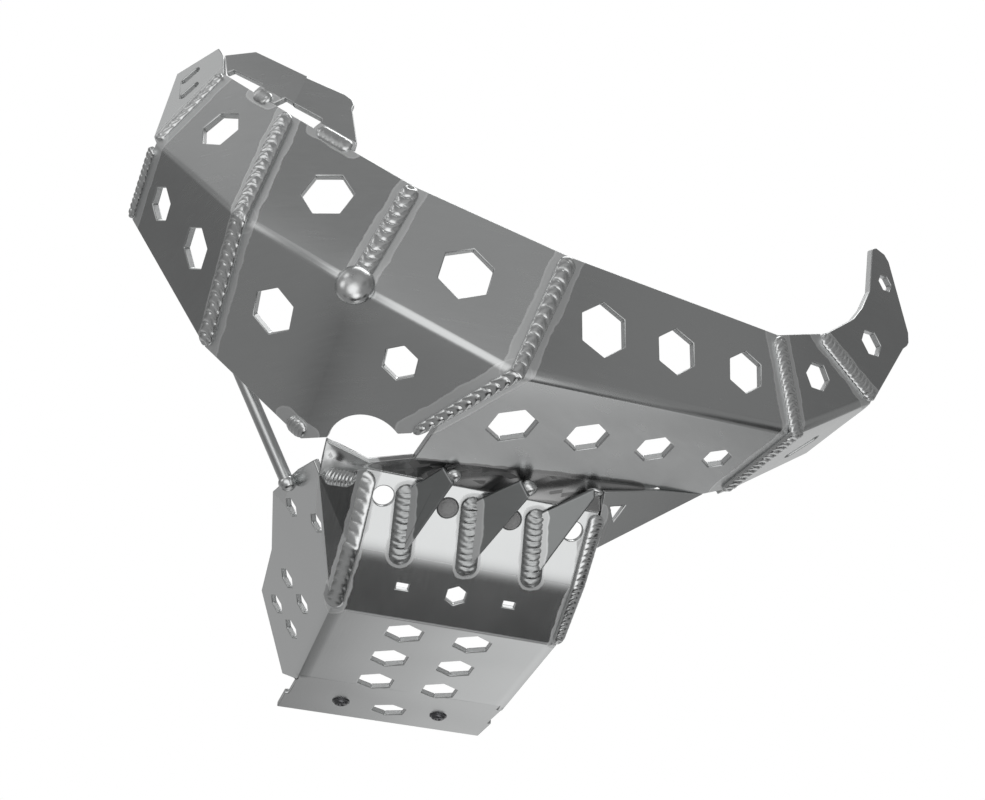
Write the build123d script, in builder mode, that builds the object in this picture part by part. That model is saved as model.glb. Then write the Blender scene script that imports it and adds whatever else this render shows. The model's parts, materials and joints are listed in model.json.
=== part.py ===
from build123d import *
import os
from math import cos, radians, sin

# Tray: one folded sheet with a rear lip, a bottom, a ramp in two facets and two flared wings
TRAY_SHEET = 4.0
TRAY_WIDTH = 160.0
BOTTOM_LENGTH = 116.5
LIP_LENGTH = 83.0
LIP_PITCH = 5.4
LOWER_RAMP = 50.0
LOWER_RAMP_ANGLE = 29.5
UPPER_RAMP = 54.5
UPPER_RAMP_ANGLE = 40.5
BEND_RADIUS = 7.0
WING_FLARE = 36.0
WING_HEIGHT = 88.0
WING_REAR_HEIGHT = 65.5
WING_PEAK_BACK = -16.0
WING_REAR_BACK = 96.0
WING_TAIL_BACK = 146.0
WING_FOLD = (-92.5, 54.0)
WING_TIP = (-96.5, 63.0)
WING_BROW = (-69.5, 73.0)
WING_WAIST = (38.0, 70.5)
WING_TAIL_HEIGHT = 15.0
WING_ROOT_OVERRUN = 8.0
FACET_LEAN = 0.15
RIGHT_WING_BROW = (-58.0, 50.0)
RIGHT_WING_HEIGHT = 56.0
RIGHT_WING_REAR_HEIGHT = 50.0
RIGHT_WING_TAIL_BACK = 134.0
LIP_EAR = 3.0
LIP_EAR_LENGTH = 36.0

# Holes in the tray
BOTTOM_HEX_RADIUS = 14.0
BOTTOM_HEX_SPACING = 49.0
BOTTOM_HEX_PITCH = 43.0
BOTTOM_HEX_FIRST = 20.5
LIP_HEX_BACK = 50.5
RAMP_HEX_RADIUS = 7.5
RAMP_HEX_UP = 26.0
RAMP_SLOT_LENGTH = 8.5
RAMP_SLOT_HEIGHT = 5.0
RAMP_SLOT_SPACING = 75.0
PAD_HOLE_RADIUS = 7.0
PAD_HOLE_PITCH = 43.7
PAD_HOLE_UP = 38.0
WING_HEX_RADIUS = 8.0
WING_HEX_PITCH = 42.0
WING_HEX_RISE = 22.0
WING_HEX_BACK = 62.0
WING_HEX_UP = 35.5
WING_UPPER_HEX_RADIUS = 7.0
WING_UPPER_HEXES = [(-29.5, 66.5), (-50.5, 41.0)]

# Rear screws and frame pads
SCREW_SPACING = 78.0
SCREW_FROM_BEND = 45.5
SCREW_RADIUS = 3.0
SCREW_LENGTH = 16.0
SCREW_HEAD_RADIUS = 6.8
SCREW_HEAD_HEIGHT = 3.3
SCREW_HEAD_TAPER = 28.0
SCREW_NECK = 0.2
SCREW_CLEARANCE = 0.3
PAD_FLANGE_RADIUS = 10.0
PAD_FLANGE_THICKNESS = 3.0
PAD_CLEARANCE = 0.4
PAD_PROUD = 0.5

# Guard: flat panels on both sides of a ridge, from the left end to the right end
GUARD_SHEET = 5.0
RIDGE_RADIUS = 8.0
RIDGE = [
    Vector(-254, -137, 249),
    Vector(-192, -184, 158.5),
    Vector(-119, -200, 111.5),
    Vector(-16, -199, 72.5),
    Vector(191.5, -161.5, 102),
    Vector(260.5, -155.5, 149.5),
]
UPPER_TILT = [-2.5, -9.0, -13.5, -17.5, -19.5]
LOWER_TILT = [43.0, 59.5, 64.5, 82.5, 90.5]
UPPER_DEPTH = [66.5, 85.0, 80.5, 90.0, 68.0, 63.5]
LOWER_DEPTH = [61.5, 92.5, 112.0, 80.0, 72.0, 11.5]
LEFT_END_LEAN_UPPER = -6.5
LEFT_END_LEAN_LOWER = -9.0
RIGHT_END_LEAN = -26.0
PANEL_OVERRUN = 25.0
PANEL_REACH = 200.0

# Hexagonal holes of the guard: distance along the ridge, distance from it, radius and turn
UPPER_HEXES = [
    [(37, 35, 15, 27)],
    [(34, 44, 16.5, 34)],
    [(54, 43.5, 18, 41)],
    [(60, 40.5, 18, 33), (115.5, 37.5, 15.5, 33), (171, 34.5, 14.5, 31)],
    [(39, 30, 10.5, 30)],
]
LOWER_HEXES = [
    [(24, 34, 12.5, 24), (78, 41, 15, 24)],
    [(42, 44, 15.5, 38)],
    [(45, 31, 11.5, 42)],
    [(21, 46.5, 16.5, 28), (74.5, 44, 14.5, 28), (126, 42.5, 13, 29), (175, 40, 10, 28)],
    [],
]
CUTOUT_ALONG = 51.0
CUTOUT_DOWN = 98.0
CUTOUT_RADIUS = 26.0

# Lower edge of the right and tail panels: distance along the ridge and away from it
D_SHOULDER = (-54.0, 36.0)
D_LEFT_FOOT = (-26.0, 94.0)
D_RIGHT_FOOT = (152.0, 80.0)
D_STEP = (14.0, 7.0)
D_HEEL = (38.0, -2.0)
D_END = (228.0, 52.0)
TAIL_EDGE = [(-24.0, 74.0), (-3.0, 75.0), (68.0, 66.0), (78.0, 30.0), (87.0, 4.0)]
TAIL_SLOT = (42.0, 42.0)
TAIL_SLOT_TURN = -43.0
TAIL_SLOT_LENGTH = 28.0
TAIL_SLOT_WIDTH = 9.0

# Shelf from the guard's lower edge back to the ramp, with a sill below the round bite
SHELF_RAMP_SHIFT = 12.0
SILL_LEFT = (26.0, 104.0)
SILL_MIDDLE = (56.0, 103.0)

# Plates welded to the guard and the tray
FLANGE_LEAN = 12.0
FLANGE_SHEET = 4.0
FLANGE_HEIGHT = 31.0
FLANGE_RIGHT_LENGTH = 54.0
FLANGE_NOTCH_HEIGHT = 8.5
FLANGE_TACK = (38.0, 62.0)
FLANGE_FIN = (-20.0, 13.0)
FLANGE_PEAK = (-2.0, 28.5)
FLANGE_SLANT = 4.0
FLANGE_CORNER = [(16.0, 8.0), (22.5, 7.0), (26.5, 4.0), (28.0, 0.0)]
FLANGE_RUN_START = 21.0
FLANGE_HEEL = (50.0, 8.0)
END_PLATE_FOLD = 8.0
LEFT_END_RUN = [(3.0, 8.0), (53.5, 52.0), (84.0, 34.0), (80.0, 21.0)]
STRAP_SLOTS = [(56.0, 35.0), (45.0, 20.0)]
STRAP_SLOT_TURN = -8.0
STRAP_SLOT_LENGTH = 16.0
STRAP_SLOT_WIDTH = 6.0
HORN_RUN = [
    (62.5, 0.0), (58.0, 9.0), (51.0, 27.0), (45.5, 42.0), (43.5, 58.0), (44.5, 79.0), (59.5, 115.5),
    (57.0, 120.5), (48.0, 124.0), (42.0, 122.5), (-2.0, 84.0), (-5.5, 77.5), (-5.5, 73.5), (-3.5, 67.0),
]
HORN_HEXES = [(23.0, 40.5, 10.5), (36.0, 101.0, 7.0)]
HORN_HEX_TURN = 20.0
GUSSET_SHEET = 4.0
GUSSET_FOOT_SPACING = 45.8
GUSSET_FOOT_SHIFT = 2.5
GUSSET_TOP_SPACING = 44.5
GUSSET_TOP_SHIFT = -4.5
GUSSET_TOP_UP = 46.0
GUSSET_TIPS = [-0.35, 0.30, 0.905]
GUSSET_TIP_BACK = 0.3
GUSSET_TIP_DROPS = [11.0, 14.0, 7.0]
GUSSET_SINK = 0.1
SUPPORT_SHEET = 4.0
SUPPORT_GAP = 4.0
SUPPORT_FOOT_UP = 28.0
SUPPORT_WINDOW = [(0.055, -4.0), (0.2, -3.0), (0.09, 7.0)]
SUPPORT_WAIST = (0.5, -10.0)
SUPPORT_ROOT = -16.0
ROD_RADIUS = 4.5
ROD_FOOT = (-54.0, 70.0)
ROD_TOP = (26.0, 98.0)

# Weld beads
BEAD_RADIUS = 5.0
BEAD_RISE = 1.5
BALL_RADIUS = 11.0
BALL_OVERLAY = 1.0
BEAD_INSET = 1.0
SMALL_BEAD_RADIUS = 3.5
CORNER_BEAD_RADIUS = 4.5
CORNER_BEAD_RISE = 0.7
GUSSET_BEAD_RISE = 1.0
GUSSET_BEAD_FOOT = 3.0
GUSSET_BEAD_TOP = 4.0
TACK_INSET = 2.0
BLOB_RADIUS = 6.5
OVAL_BEAD = [(75.0, 104.0), (93.0, 107.0)]
SILL_BEAD = (0.1, 0.86)

# The rear lip lies level, with its screws at the origin, so the tray climbs towards the front
pitch = radians(LIP_PITCH)
tray_back = Vector(0, cos(pitch), -sin(pitch))
tray_up = Vector(0, sin(pitch), cos(pitch))
screw_back = BOTTOM_LENGTH + SCREW_FROM_BEND * cos(pitch)
screw_up = SCREW_FROM_BEND * sin(pitch)
TRAY = Plane(
    origin=Vector(0, 0, -TRAY_SHEET) - tray_back * screw_back - tray_up * screw_up,
    x_dir=(1, 0, 0),
    z_dir=tray_up,
)


def at(x, y, z):
    """Point of the tray's frame, whose origin is the middle of the front bend, in the part's frame."""
    return TRAY.from_local_coords(Vector(x, y, z))


def spot(point):
    """Same as at, for a vector."""
    return TRAY.from_local_coords(point)


def heading(direction):
    """Direction of the tray's frame in the part's frame."""
    return spot(direction) - spot(Vector(0, 0, 0))


def work_plane(origin, along, outward):
    """Plane on an outer face, given in the tray's frame."""
    return Plane(origin=spot(origin), x_dir=heading(along), z_dir=heading(outward))


def slab(corners, outward, thickness, inward=None):
    """Flat plate whose outer face has these corners, grown straight inward or along a given way."""
    normal = (corners[1] - corners[0]).cross(corners[2] - corners[0]).normalized()
    if normal.dot(outward) < 0:
        normal = -normal
    plane = work_plane(corners[0], corners[1] - corners[0], normal)
    with BuildSketch(plane) as outline:
        with BuildLine():
            Polyline(*[plane.to_local_coords(spot(c)) for c in corners], close=True)
        make_face()
    extrude(outline.sketch, amount=thickness, dir=heading(inward if inward else -normal))


def largest(part):
    """Largest solid of a part that cuts have left in pieces."""
    return max(part.solids(), key=lambda solid: solid.volume)


def trimmed(raw, neighbours):
    """A raw plate or bead with its neighbours cut away, as one solid."""
    with BuildPart() as cut:
        add(raw)
        for neighbour in neighbours:
            add(neighbour, mode=Mode.SUBTRACT)
    return largest(cut.part)


# Key points of the tray, in its own frame
half_width = TRAY_WIDTH / 2
lower_angle = radians(LOWER_RAMP_ANGLE)
upper_angle = radians(UPPER_RAMP_ANGLE)
lower_climb = Vector(0, -cos(lower_angle), sin(lower_angle))
upper_climb = Vector(0, -cos(upper_angle), sin(upper_angle))
lower_face = Vector(0, -sin(lower_angle), -cos(lower_angle))
upper_face = Vector(0, -sin(upper_angle), -cos(upper_angle))
knee = lower_climb * LOWER_RAMP
crest = knee + upper_climb * UPPER_RAMP
lip_end = Vector(0, BOTTOM_LENGTH + LIP_LENGTH * cos(pitch), LIP_LENGTH * sin(pitch))
flare = radians(WING_FLARE)


def across(x, point):
    """Point of the tray's middle section moved sideways."""
    return Vector(x, point.Y, point.Z)


def wing_point(back, height):
    """Point on the outer face of the flared left wing."""
    return Vector(-half_width - height * sin(flare), back, height * cos(flare))


# Tray
left_wing_outline = [
    (0, 0),
    WING_FOLD,
    WING_TIP,
    WING_BROW,
    (WING_PEAK_BACK, WING_HEIGHT),
    WING_WAIST,
    (WING_REAR_BACK, WING_REAR_HEIGHT),
    (WING_TAIL_BACK, WING_TAIL_HEIGHT),
    (BOTTOM_LENGTH + WING_ROOT_OVERRUN, 0),
]
right_wing_outline = [
    (0, 0),
    (knee.Y, knee.Z),
    (crest.Y, crest.Z),
    RIGHT_WING_BROW,
    (WING_PEAK_BACK, RIGHT_WING_HEIGHT),
    (WING_REAR_BACK, RIGHT_WING_REAR_HEIGHT),
    (RIGHT_WING_TAIL_BACK, WING_TAIL_HEIGHT),
    (BOTTOM_LENGTH + WING_ROOT_OVERRUN, 0),
]
section = Plane(origin=at(-half_width, 0, 0), x_dir=tray_back, z_dir=(1, 0, 0))
section_points = [
    (lip_end.Y, lip_end.Z),
    (BOTTOM_LENGTH, 0),
    (0, 0),
    (knee.Y, knee.Z),
    (crest.Y, crest.Z),
]
left_corner = Vector(-half_width, 0, 0)
left_knee = across(-half_width, knee)
left_crest = across(-half_width, crest)
left_fold = wing_point(*WING_FOLD)
wing_out = Vector(-cos(flare), 0, -sin(flare))
with BuildPart() as skid_tray:
    with BuildSketch(section):
        with BuildLine():
            outer = FilletPolyline(*section_points, radius=BEND_RADIUS)
            offset(outer, amount=TRAY_SHEET, side=Side.RIGHT)
        make_face()
    extrude(amount=TRAY_WIDTH)
    with BuildSketch(Plane.XY.offset(-TRAY_SHEET)):
        with Locations((0, LIP_LENGTH - SCREW_FROM_BEND - LIP_EAR_LENGTH / 2)):
            Rectangle(TRAY_WIDTH + 2 * LIP_EAR, LIP_EAR_LENGTH)
    extrude(amount=TRAY_SHEET)
    slab([wing_point(*p) for p in left_wing_outline], wing_out, TRAY_SHEET)
    slab([Vector(half_width, *p) for p in right_wing_outline], Vector(1, 0, 0), TRAY_SHEET)
    inward = Vector(FACET_LEAN, -upper_face.Y, -upper_face.Z).normalized()
    slab([left_corner, left_knee, left_fold], upper_face, TRAY_SHEET, inward)
    slab([left_knee, left_crest, left_fold], upper_face, TRAY_SHEET, inward)
    with BuildSketch(work_plane(left_corner, Vector(0, -1, 0), wing_out).offset(-2 * TRAY_SHEET)):
        with Locations((-WING_HEX_BACK, WING_HEX_UP)):
            with GridLocations(WING_HEX_PITCH, WING_HEX_RISE, 2, 2):
                RegularPolygon(WING_HEX_RADIUS, 6, rotation=30)
        with Locations(*[(-back, up) for back, up in WING_UPPER_HEXES]):
            RegularPolygon(WING_UPPER_HEX_RADIUS, 6, rotation=30)
    extrude(amount=3 * TRAY_SHEET, mode=Mode.SUBTRACT)
    with BuildSketch(work_plane(Vector(0, 0, -1), Vector(1, 0, 0), Vector(0, 0, 1))):
        for row in range(3):
            for side in (-1, 1):
                with Locations((side * BOTTOM_HEX_SPACING / 2, BOTTOM_HEX_FIRST + row * BOTTOM_HEX_PITCH)):
                    RegularPolygon(BOTTOM_HEX_RADIUS, 6, rotation=30)
    extrude(amount=2 * TRAY_SHEET, mode=Mode.SUBTRACT)
    with BuildSketch(Plane.XY.offset(-1.5 * TRAY_SHEET)):
        with Locations((0, LIP_HEX_BACK - SCREW_FROM_BEND)):
            RegularPolygon(BOTTOM_HEX_RADIUS, 6, rotation=30)
        with GridLocations(SCREW_SPACING, 0, 2, 1):
            Circle(SCREW_RADIUS + SCREW_NECK + SCREW_CLEARANCE)
    extrude(amount=2 * TRAY_SHEET, mode=Mode.SUBTRACT)
    with BuildSketch(work_plane(lower_face, Vector(1, 0, 0), -lower_face)):
        with Locations((0, -RAMP_HEX_UP)):
            RegularPolygon(RAMP_HEX_RADIUS, 6, rotation=30)
            with GridLocations(RAMP_SLOT_SPACING, 0, 2, 1):
                Rectangle(RAMP_SLOT_LENGTH, RAMP_SLOT_HEIGHT)
    extrude(amount=2 * TRAY_SHEET, mode=Mode.SUBTRACT)
    with BuildSketch(work_plane(knee + upper_face, Vector(1, 0, 0), -upper_face)):
        with Locations((0, -PAD_HOLE_UP)):
            with GridLocations(PAD_HOLE_PITCH, 0, 4, 1):
                Circle(PAD_HOLE_RADIUS)
    extrude(amount=2 * TRAY_SHEET, mode=Mode.SUBTRACT)


class Panel:
    """An upper and a lower flat face that meet along one stretch of the ridge."""

    def __init__(self, start, end, upper_tilt, lower_tilt):
        self.start = start
        self.length = (end - start).length
        self.along = (end - start).normalized()
        rise = (Vector(0, 0, 1) - self.along * self.along.Z).normalized()
        back = rise.cross(self.along)
        if back.Y < 0:
            back = -back
        up = radians(upper_tilt)
        low = radians(lower_tilt)
        self.back = back
        self.upper = rise * cos(up) + back * sin(up)
        self.lower = back * sin(low) - rise * cos(low)
        self.upper_out = rise * sin(up) - back * cos(up)
        self.lower_out = -rise * sin(low) - back * cos(low)

    def on_upper(self, along, away):
        """Point on the outer upper face."""
        return self.start + self.along * along + self.upper * away

    def on_lower(self, along, away):
        """Point on the outer lower face."""
        return self.start + self.along * along + self.lower * away

    def upper_plane(self):
        """Plane on the upper face, with y away from the ridge."""
        return work_plane(self.start, self.along, self.upper_out)

    def lower_plane(self):
        """Plane on the lower face, with y away from the ridge and z inward."""
        return work_plane(self.start, self.along, -self.lower_out)


class Station:
    """Line across the guard where two panels meet, or where it ends."""

    def __init__(self, ridge, upper_way, lower_way, upper_depth, lower_depth):
        self.ridge = ridge
        self.upper_way = upper_way
        self.lower_way = lower_way
        self.top = ridge + upper_way * upper_depth
        self.bottom = ridge + lower_way * lower_depth

    def cut_plane(self, keep_towards):
        """Plane through both seams, facing the panel that is kept."""
        normal = self.upper_way.cross(self.lower_way).normalized()
        if normal.dot(keep_towards) < 0:
            normal = -normal
        return Plane(origin=spot(self.ridge), z_dir=heading(normal))


def seam_way(first, second, towards):
    """Direction of the line where two faces meet."""
    way = first.cross(second).normalized()
    return way if way.dot(towards) > 0 else -way


def leaned(panel_way, along, degrees):
    """Direction in a face, leaned along the ridge."""
    return panel_way * cos(radians(degrees)) + along * sin(radians(degrees))


panels = [Panel(*ends) for ends in zip(RIDGE[:-1], RIDGE[1:], UPPER_TILT, LOWER_TILT)]
first, last = panels[0], panels[-1]
left_end_upper = leaned(first.upper, first.along, LEFT_END_LEAN_UPPER)
left_end_lower = leaned(first.lower, first.along, LEFT_END_LEAN_LOWER)
ways = [(left_end_upper, left_end_lower)]
for left, right in zip(panels[:-1], panels[1:]):
    upper_way = seam_way(left.upper_out, right.upper_out, left.upper)
    lower_way = seam_way(left.lower_out, right.lower_out, left.lower)
    ways.append((upper_way, lower_way))
ways.append((leaned(last.upper, last.along, RIGHT_END_LEAN), last.lower))
stations = [Station(r, *w, u, d) for r, w, u, d in zip(RIDGE, ways, UPPER_DEPTH, LOWER_DEPTH)]


def straight_edge(plane, left_end, right_end):
    """Outline of a straight free edge, from far left to far right, in a face's own coordinates."""
    run = (right_end - left_end).normalized() * 2 * PANEL_OVERRUN
    ends = [plane.to_local_coords(spot(point)) for point in (left_end - run, right_end + run)]
    return [(end.X, end.Y) for end in ends]


def panel_sheet(index, lower_outline=None):
    """Folded sheet of one panel, trimmed to its edges and stations, with its hexagonal holes."""
    panel = panels[index]
    left, right = stations[index], stations[index + 1]
    upper_plane, lower_plane = panel.upper_plane(), panel.lower_plane()
    fold_plane = work_plane(panel.start - panel.along * PANEL_OVERRUN, panel.back, panel.along)
    fold_points = [panel.on_upper(0, PANEL_REACH), panel.start, panel.on_lower(0, PANEL_REACH)]
    upper_outline = straight_edge(upper_plane, left.top, right.top)
    if lower_outline is None:
        lower_outline = straight_edge(lower_plane, left.bottom, right.bottom)
    past = panel.length + 2 * PANEL_OVERRUN
    beyond = [(past, -PANEL_REACH), (-past, -PANEL_REACH)]
    with BuildPart() as sheet:
        with BuildSketch(fold_plane):
            with BuildLine():
                corners = [fold_plane.to_local_coords(spot(point)) for point in fold_points]
                fold = FilletPolyline(*[(corner.X, corner.Y) for corner in corners], radius=RIDGE_RADIUS)
                offset(fold, amount=GUARD_SHEET, side=Side.LEFT)
            make_face()
        extrude(amount=past)
        for plane, edge in ((upper_plane, upper_outline), (lower_plane, lower_outline)):
            with BuildSketch(plane):
                with BuildLine():
                    Polyline(*edge, *beyond, close=True)
                make_face()
            extrude(amount=PANEL_REACH, both=True, mode=Mode.INTERSECT)
        split(bisect_by=left.cut_plane(panel.along), keep=Keep.TOP)
        split(bisect_by=right.cut_plane(-panel.along), keep=Keep.TOP)
        for along, away, radius, turn in UPPER_HEXES[index]:
            with BuildSketch(upper_plane.offset(-2 * GUARD_SHEET)):
                with Locations((along, away)):
                    RegularPolygon(radius, 6, rotation=turn)
            extrude(amount=3 * GUARD_SHEET, mode=Mode.SUBTRACT)
        for along, away, radius, turn in LOWER_HEXES[index]:
            with BuildSketch(lower_plane.offset(-GUARD_SHEET)):
                with Locations((along, away)):
                    RegularPolygon(radius, 6, rotation=-turn)
            extrude(amount=3 * GUARD_SHEET, mode=Mode.SUBTRACT)
    return sheet.part


def pipe_cutout():
    """Round bite taken out of the guard's lower edge, square to the centre panel."""
    with BuildSketch(panels[2].lower_plane().offset(-6 * GUARD_SHEET)) as bite:
        with Locations((CUTOUT_ALONG, CUTOUT_DOWN)):
            Circle(CUTOUT_RADIUS)
    extrude(bite.sketch, amount=12 * GUARD_SHEET, mode=Mode.SUBTRACT)


# Guard panels
left_sheet = panel_sheet(0)
with BuildPart() as guard_left_panel:
    add(left_sheet)

centre_left_sheet = panel_sheet(1)
centre_right_sheet = panel_sheet(2)
with BuildPart() as guard_centre_panel:
    add(centre_left_sheet)
    add(centre_right_sheet)
    pipe_cutout()
    with Locations(spot(stations[2].ridge)):
        Sphere(BALL_RADIUS - BALL_OVERLAY, mode=Mode.SUBTRACT)

d_step = (D_RIGHT_FOOT[0] + D_STEP[0], D_RIGHT_FOOT[1] + D_STEP[1])
d_heel = (D_RIGHT_FOOT[0] + D_HEEL[0], D_RIGHT_FOOT[1] + D_HEEL[1])
right_outline = [D_SHOULDER, D_LEFT_FOOT, D_RIGHT_FOOT, d_step, d_heel, D_END]
right_sheet = panel_sheet(3, right_outline)
shelf_left = panels[3].on_lower(*D_LEFT_FOOT)
shelf_right = panels[3].on_lower(*D_RIGHT_FOOT)
shelf_drop = panels[3].lower_out * -TRAY_SHEET
ramp_left = across(shelf_left.X - SHELF_RAMP_SHIFT, crest)
ramp_right = across(half_width, crest)
sill_left = panels[2].on_lower(*SILL_LEFT)
sill_middle = panels[2].on_lower(*SILL_MIDDLE)
shelf_feet = [sill_left, sill_middle, shelf_left, shelf_right]
shelf_backs = [left_fold, left_crest, ramp_left, ramp_right]
with BuildPart() as shelf:
    for foot, ramp in zip(shelf_feet, shelf_backs):
        corners = [foot, ramp, ramp + shelf_drop, foot + shelf_drop]
        run = ramp - foot
        plane = Plane(origin=spot(foot), x_dir=heading(run), z_dir=heading(run.cross(shelf_drop)))
        with BuildSketch(plane):
            with BuildLine():
                Polyline(*[plane.to_local_coords(spot(c)) for c in corners], close=True)
            make_face()
    loft(ruled=True)
with BuildPart() as guard_right_raw:
    add(right_sheet)
    add(shelf.part)
right_body = trimmed(guard_right_raw.part, [skid_tray.part, guard_centre_panel.part])
with BuildPart() as guard_right_panel:
    add(right_body)

tail_sheet = panel_sheet(4, TAIL_EDGE)
with BuildPart() as guard_tail_panel:
    add(tail_sheet)
    with BuildSketch(panels[4].lower_plane().offset(-GUARD_SHEET)):
        with Locations(TAIL_SLOT):
            SlotOverall(TAIL_SLOT_LENGTH, TAIL_SLOT_WIDTH, rotation=TAIL_SLOT_TURN)
    extrude(amount=3 * GUARD_SHEET, mode=Mode.SUBTRACT)


def end_frame(station, panel, side, fold):
    """Plane of a plate that carries on past an end of the guard, folded back at the seam."""
    way = station.upper_way
    face = (panel.upper_out - way * panel.upper_out.dot(way)).normalized()
    out = face.cross(way)
    if out.X * side < 0:
        out = -out
    angle = radians(fold)
    normal = face * cos(angle) + out * sin(angle)
    return way, out * cos(angle) - face * sin(angle), normal


def end_plate(station, frame, outline):
    """Plate given by distances up the seam and outward from it, flush with the guard's end face."""
    way, out, normal = frame
    inward = (station.lower_way - way * station.lower_way.dot(way)).normalized()
    thickness = GUARD_SHEET / abs(inward.dot(normal))
    slab([station.ridge + way * up + out * away for up, away in outline], normal, thickness, inward)


def end_plane(station, frame):
    """Plane for holes in an end plate: x up the seam, y outward or inward from it."""
    way, out, normal = frame
    return work_plane(station.ridge, way, normal), (1 if normal.cross(way).dot(out) > 0 else -1)


# Left end plate with two strap slots
left_frame = end_frame(stations[0], first, -1, END_PLATE_FOLD)
with BuildPart() as left_end_raw:
    end_plate(stations[0], left_frame, [(0, 0), *LEFT_END_RUN, (UPPER_DEPTH[0], 0)])
    slot_plane, slot_sign = end_plane(stations[0], left_frame)
    with BuildSketch(slot_plane.offset(-2 * GUARD_SHEET)):
        with Locations(*[(up, slot_sign * away) for up, away in STRAP_SLOTS]):
            SlotOverall(STRAP_SLOT_LENGTH, STRAP_SLOT_WIDTH, rotation=slot_sign * STRAP_SLOT_TURN)
    extrude(amount=3 * GUARD_SHEET, mode=Mode.SUBTRACT)
left_end_body = trimmed(left_end_raw.part, [guard_left_panel.part])
with BuildPart() as left_end_plate:
    add(left_end_body)

# Right end plate, a flat horn with two hexagons
right_frame = end_frame(stations[5], last, 1, END_PLATE_FOLD)
with BuildPart() as right_end_raw:
    end_plate(stations[5], right_frame, [(0, 0), *HORN_RUN])
    horn_plane, horn_sign = end_plane(stations[5], right_frame)
    with BuildSketch(horn_plane.offset(-2 * GUARD_SHEET)):
        for up, away, radius in HORN_HEXES:
            with Locations((up, horn_sign * away)):
                RegularPolygon(radius, 6, rotation=horn_sign * HORN_HEX_TURN)
    extrude(amount=3 * GUARD_SHEET, mode=Mode.SUBTRACT)
right_end_body = trimmed(right_end_raw.part, [guard_tail_panel.part])
with BuildPart() as right_end_plate:
    add(right_end_body)


# Top flange, bent where the two panels below it meet
def flange_face(index):
    """Foot, direction along the foot, direction up the flange and outward normal."""
    foot = stations[index].top
    along = (stations[index + 1].top - foot).normalized()
    face = panels[index].upper_out
    face = (face - along * face.dot(along)).normalized()
    up = face.cross(along)
    lean = radians(FLANGE_LEAN)
    return foot, along, up * cos(lean) - face * sin(lean), face * cos(lean) + up * sin(lean)


left_face = flange_face(0)
right_face = flange_face(1)
left_foot_length = (stations[1].top - stations[0].top).length
flange_fold = seam_way(left_face[3], right_face[3], left_face[2])
flange_middle = flange_fold.cross(left_face[3] + right_face[3])
flange_cut = Plane(origin=spot(stations[1].top), z_dir=heading(flange_middle))
past_fold = left_foot_length + FLANGE_HEIGHT
flange_left_outline = [
    FLANGE_FIN,
    FLANGE_PEAK,
    (past_fold, FLANGE_HEIGHT + FLANGE_SLANT),
    (past_fold, FLANGE_NOTCH_HEIGHT),
    (FLANGE_TACK[1] + TACK_INSET, FLANGE_NOTCH_HEIGHT),
    (FLANGE_TACK[1], 0),
    (FLANGE_TACK[0], 0),
    (FLANGE_TACK[0] - TACK_INSET, FLANGE_NOTCH_HEIGHT),
    (TACK_INSET, FLANGE_NOTCH_HEIGHT - TACK_INSET),
    (0, TACK_INSET),
]
flange_right_outline = [
    (-FLANGE_HEIGHT, FLANGE_HEIGHT + FLANGE_SLANT / 2),
    *[(along, FLANGE_HEIGHT + up) for along, up in FLANGE_CORNER],
    FLANGE_HEEL,
    (FLANGE_RIGHT_LENGTH, 0),
    (FLANGE_RUN_START, 0),
    (FLANGE_RUN_START, FLANGE_NOTCH_HEIGHT),
    (FLANGE_RUN_START - TACK_INSET, FLANGE_NOTCH_HEIGHT + TACK_INSET),
    (-FLANGE_HEIGHT, FLANGE_NOTCH_HEIGHT),
]


def flange_half(face, outline, side):
    """One flat half of the flange, cut at the bend."""
    foot, along, up, normal = face
    with BuildPart() as half:
        slab([foot + along * a + up * b for a, b in outline], normal, FLANGE_SHEET)
        facing = flange_cut if flange_cut.z_dir.dot(heading(along)) * side > 0 else -flange_cut
        split(bisect_by=facing, keep=Keep.TOP)
    return half.part


flange_left_half = flange_half(left_face, flange_left_outline, -1)
flange_right_half = flange_half(right_face, flange_right_outline, 1)
with BuildPart() as flange_raw:
    add(flange_left_half)
    add(flange_right_half)
flange_body = trimmed(flange_raw.part, [guard_left_panel.part, guard_centre_panel.part, left_end_plate.part])
with BuildPart() as top_flange:
    add(flange_body)


# Frame pads in the two middle holes of the ramp
pad_plane = work_plane(knee + upper_climb * PAD_HOLE_UP, Vector(1, 0, 0), -upper_face)
with BuildPart() as frame_pads:
    with BuildSketch(pad_plane.offset(-PAD_PROUD)):
        with GridLocations(PAD_HOLE_PITCH, 0, 2, 1):
            Circle(PAD_HOLE_RADIUS - PAD_CLEARANCE)
    extrude(amount=TRAY_SHEET + PAD_PROUD)
    with BuildSketch(pad_plane.offset(TRAY_SHEET)):
        with GridLocations(PAD_HOLE_PITCH, 0, 2, 1):
            Circle(PAD_FLANGE_RADIUS)
    extrude(amount=PAD_FLANGE_THICKNESS)


# Gussets from the ramp to the shelf
def gusset_seat(index):
    """Point on the shelf above a gusset's tip."""
    left_end = shelf_left + (ramp_left - shelf_left) * GUSSET_TIP_BACK
    right_end = shelf_right + (ramp_right - shelf_right) * GUSSET_TIP_BACK
    share = (GUSSET_TIPS[index] * half_width - left_end.X) / (right_end.X - left_end.X)
    return left_end + (right_end - left_end) * share


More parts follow.
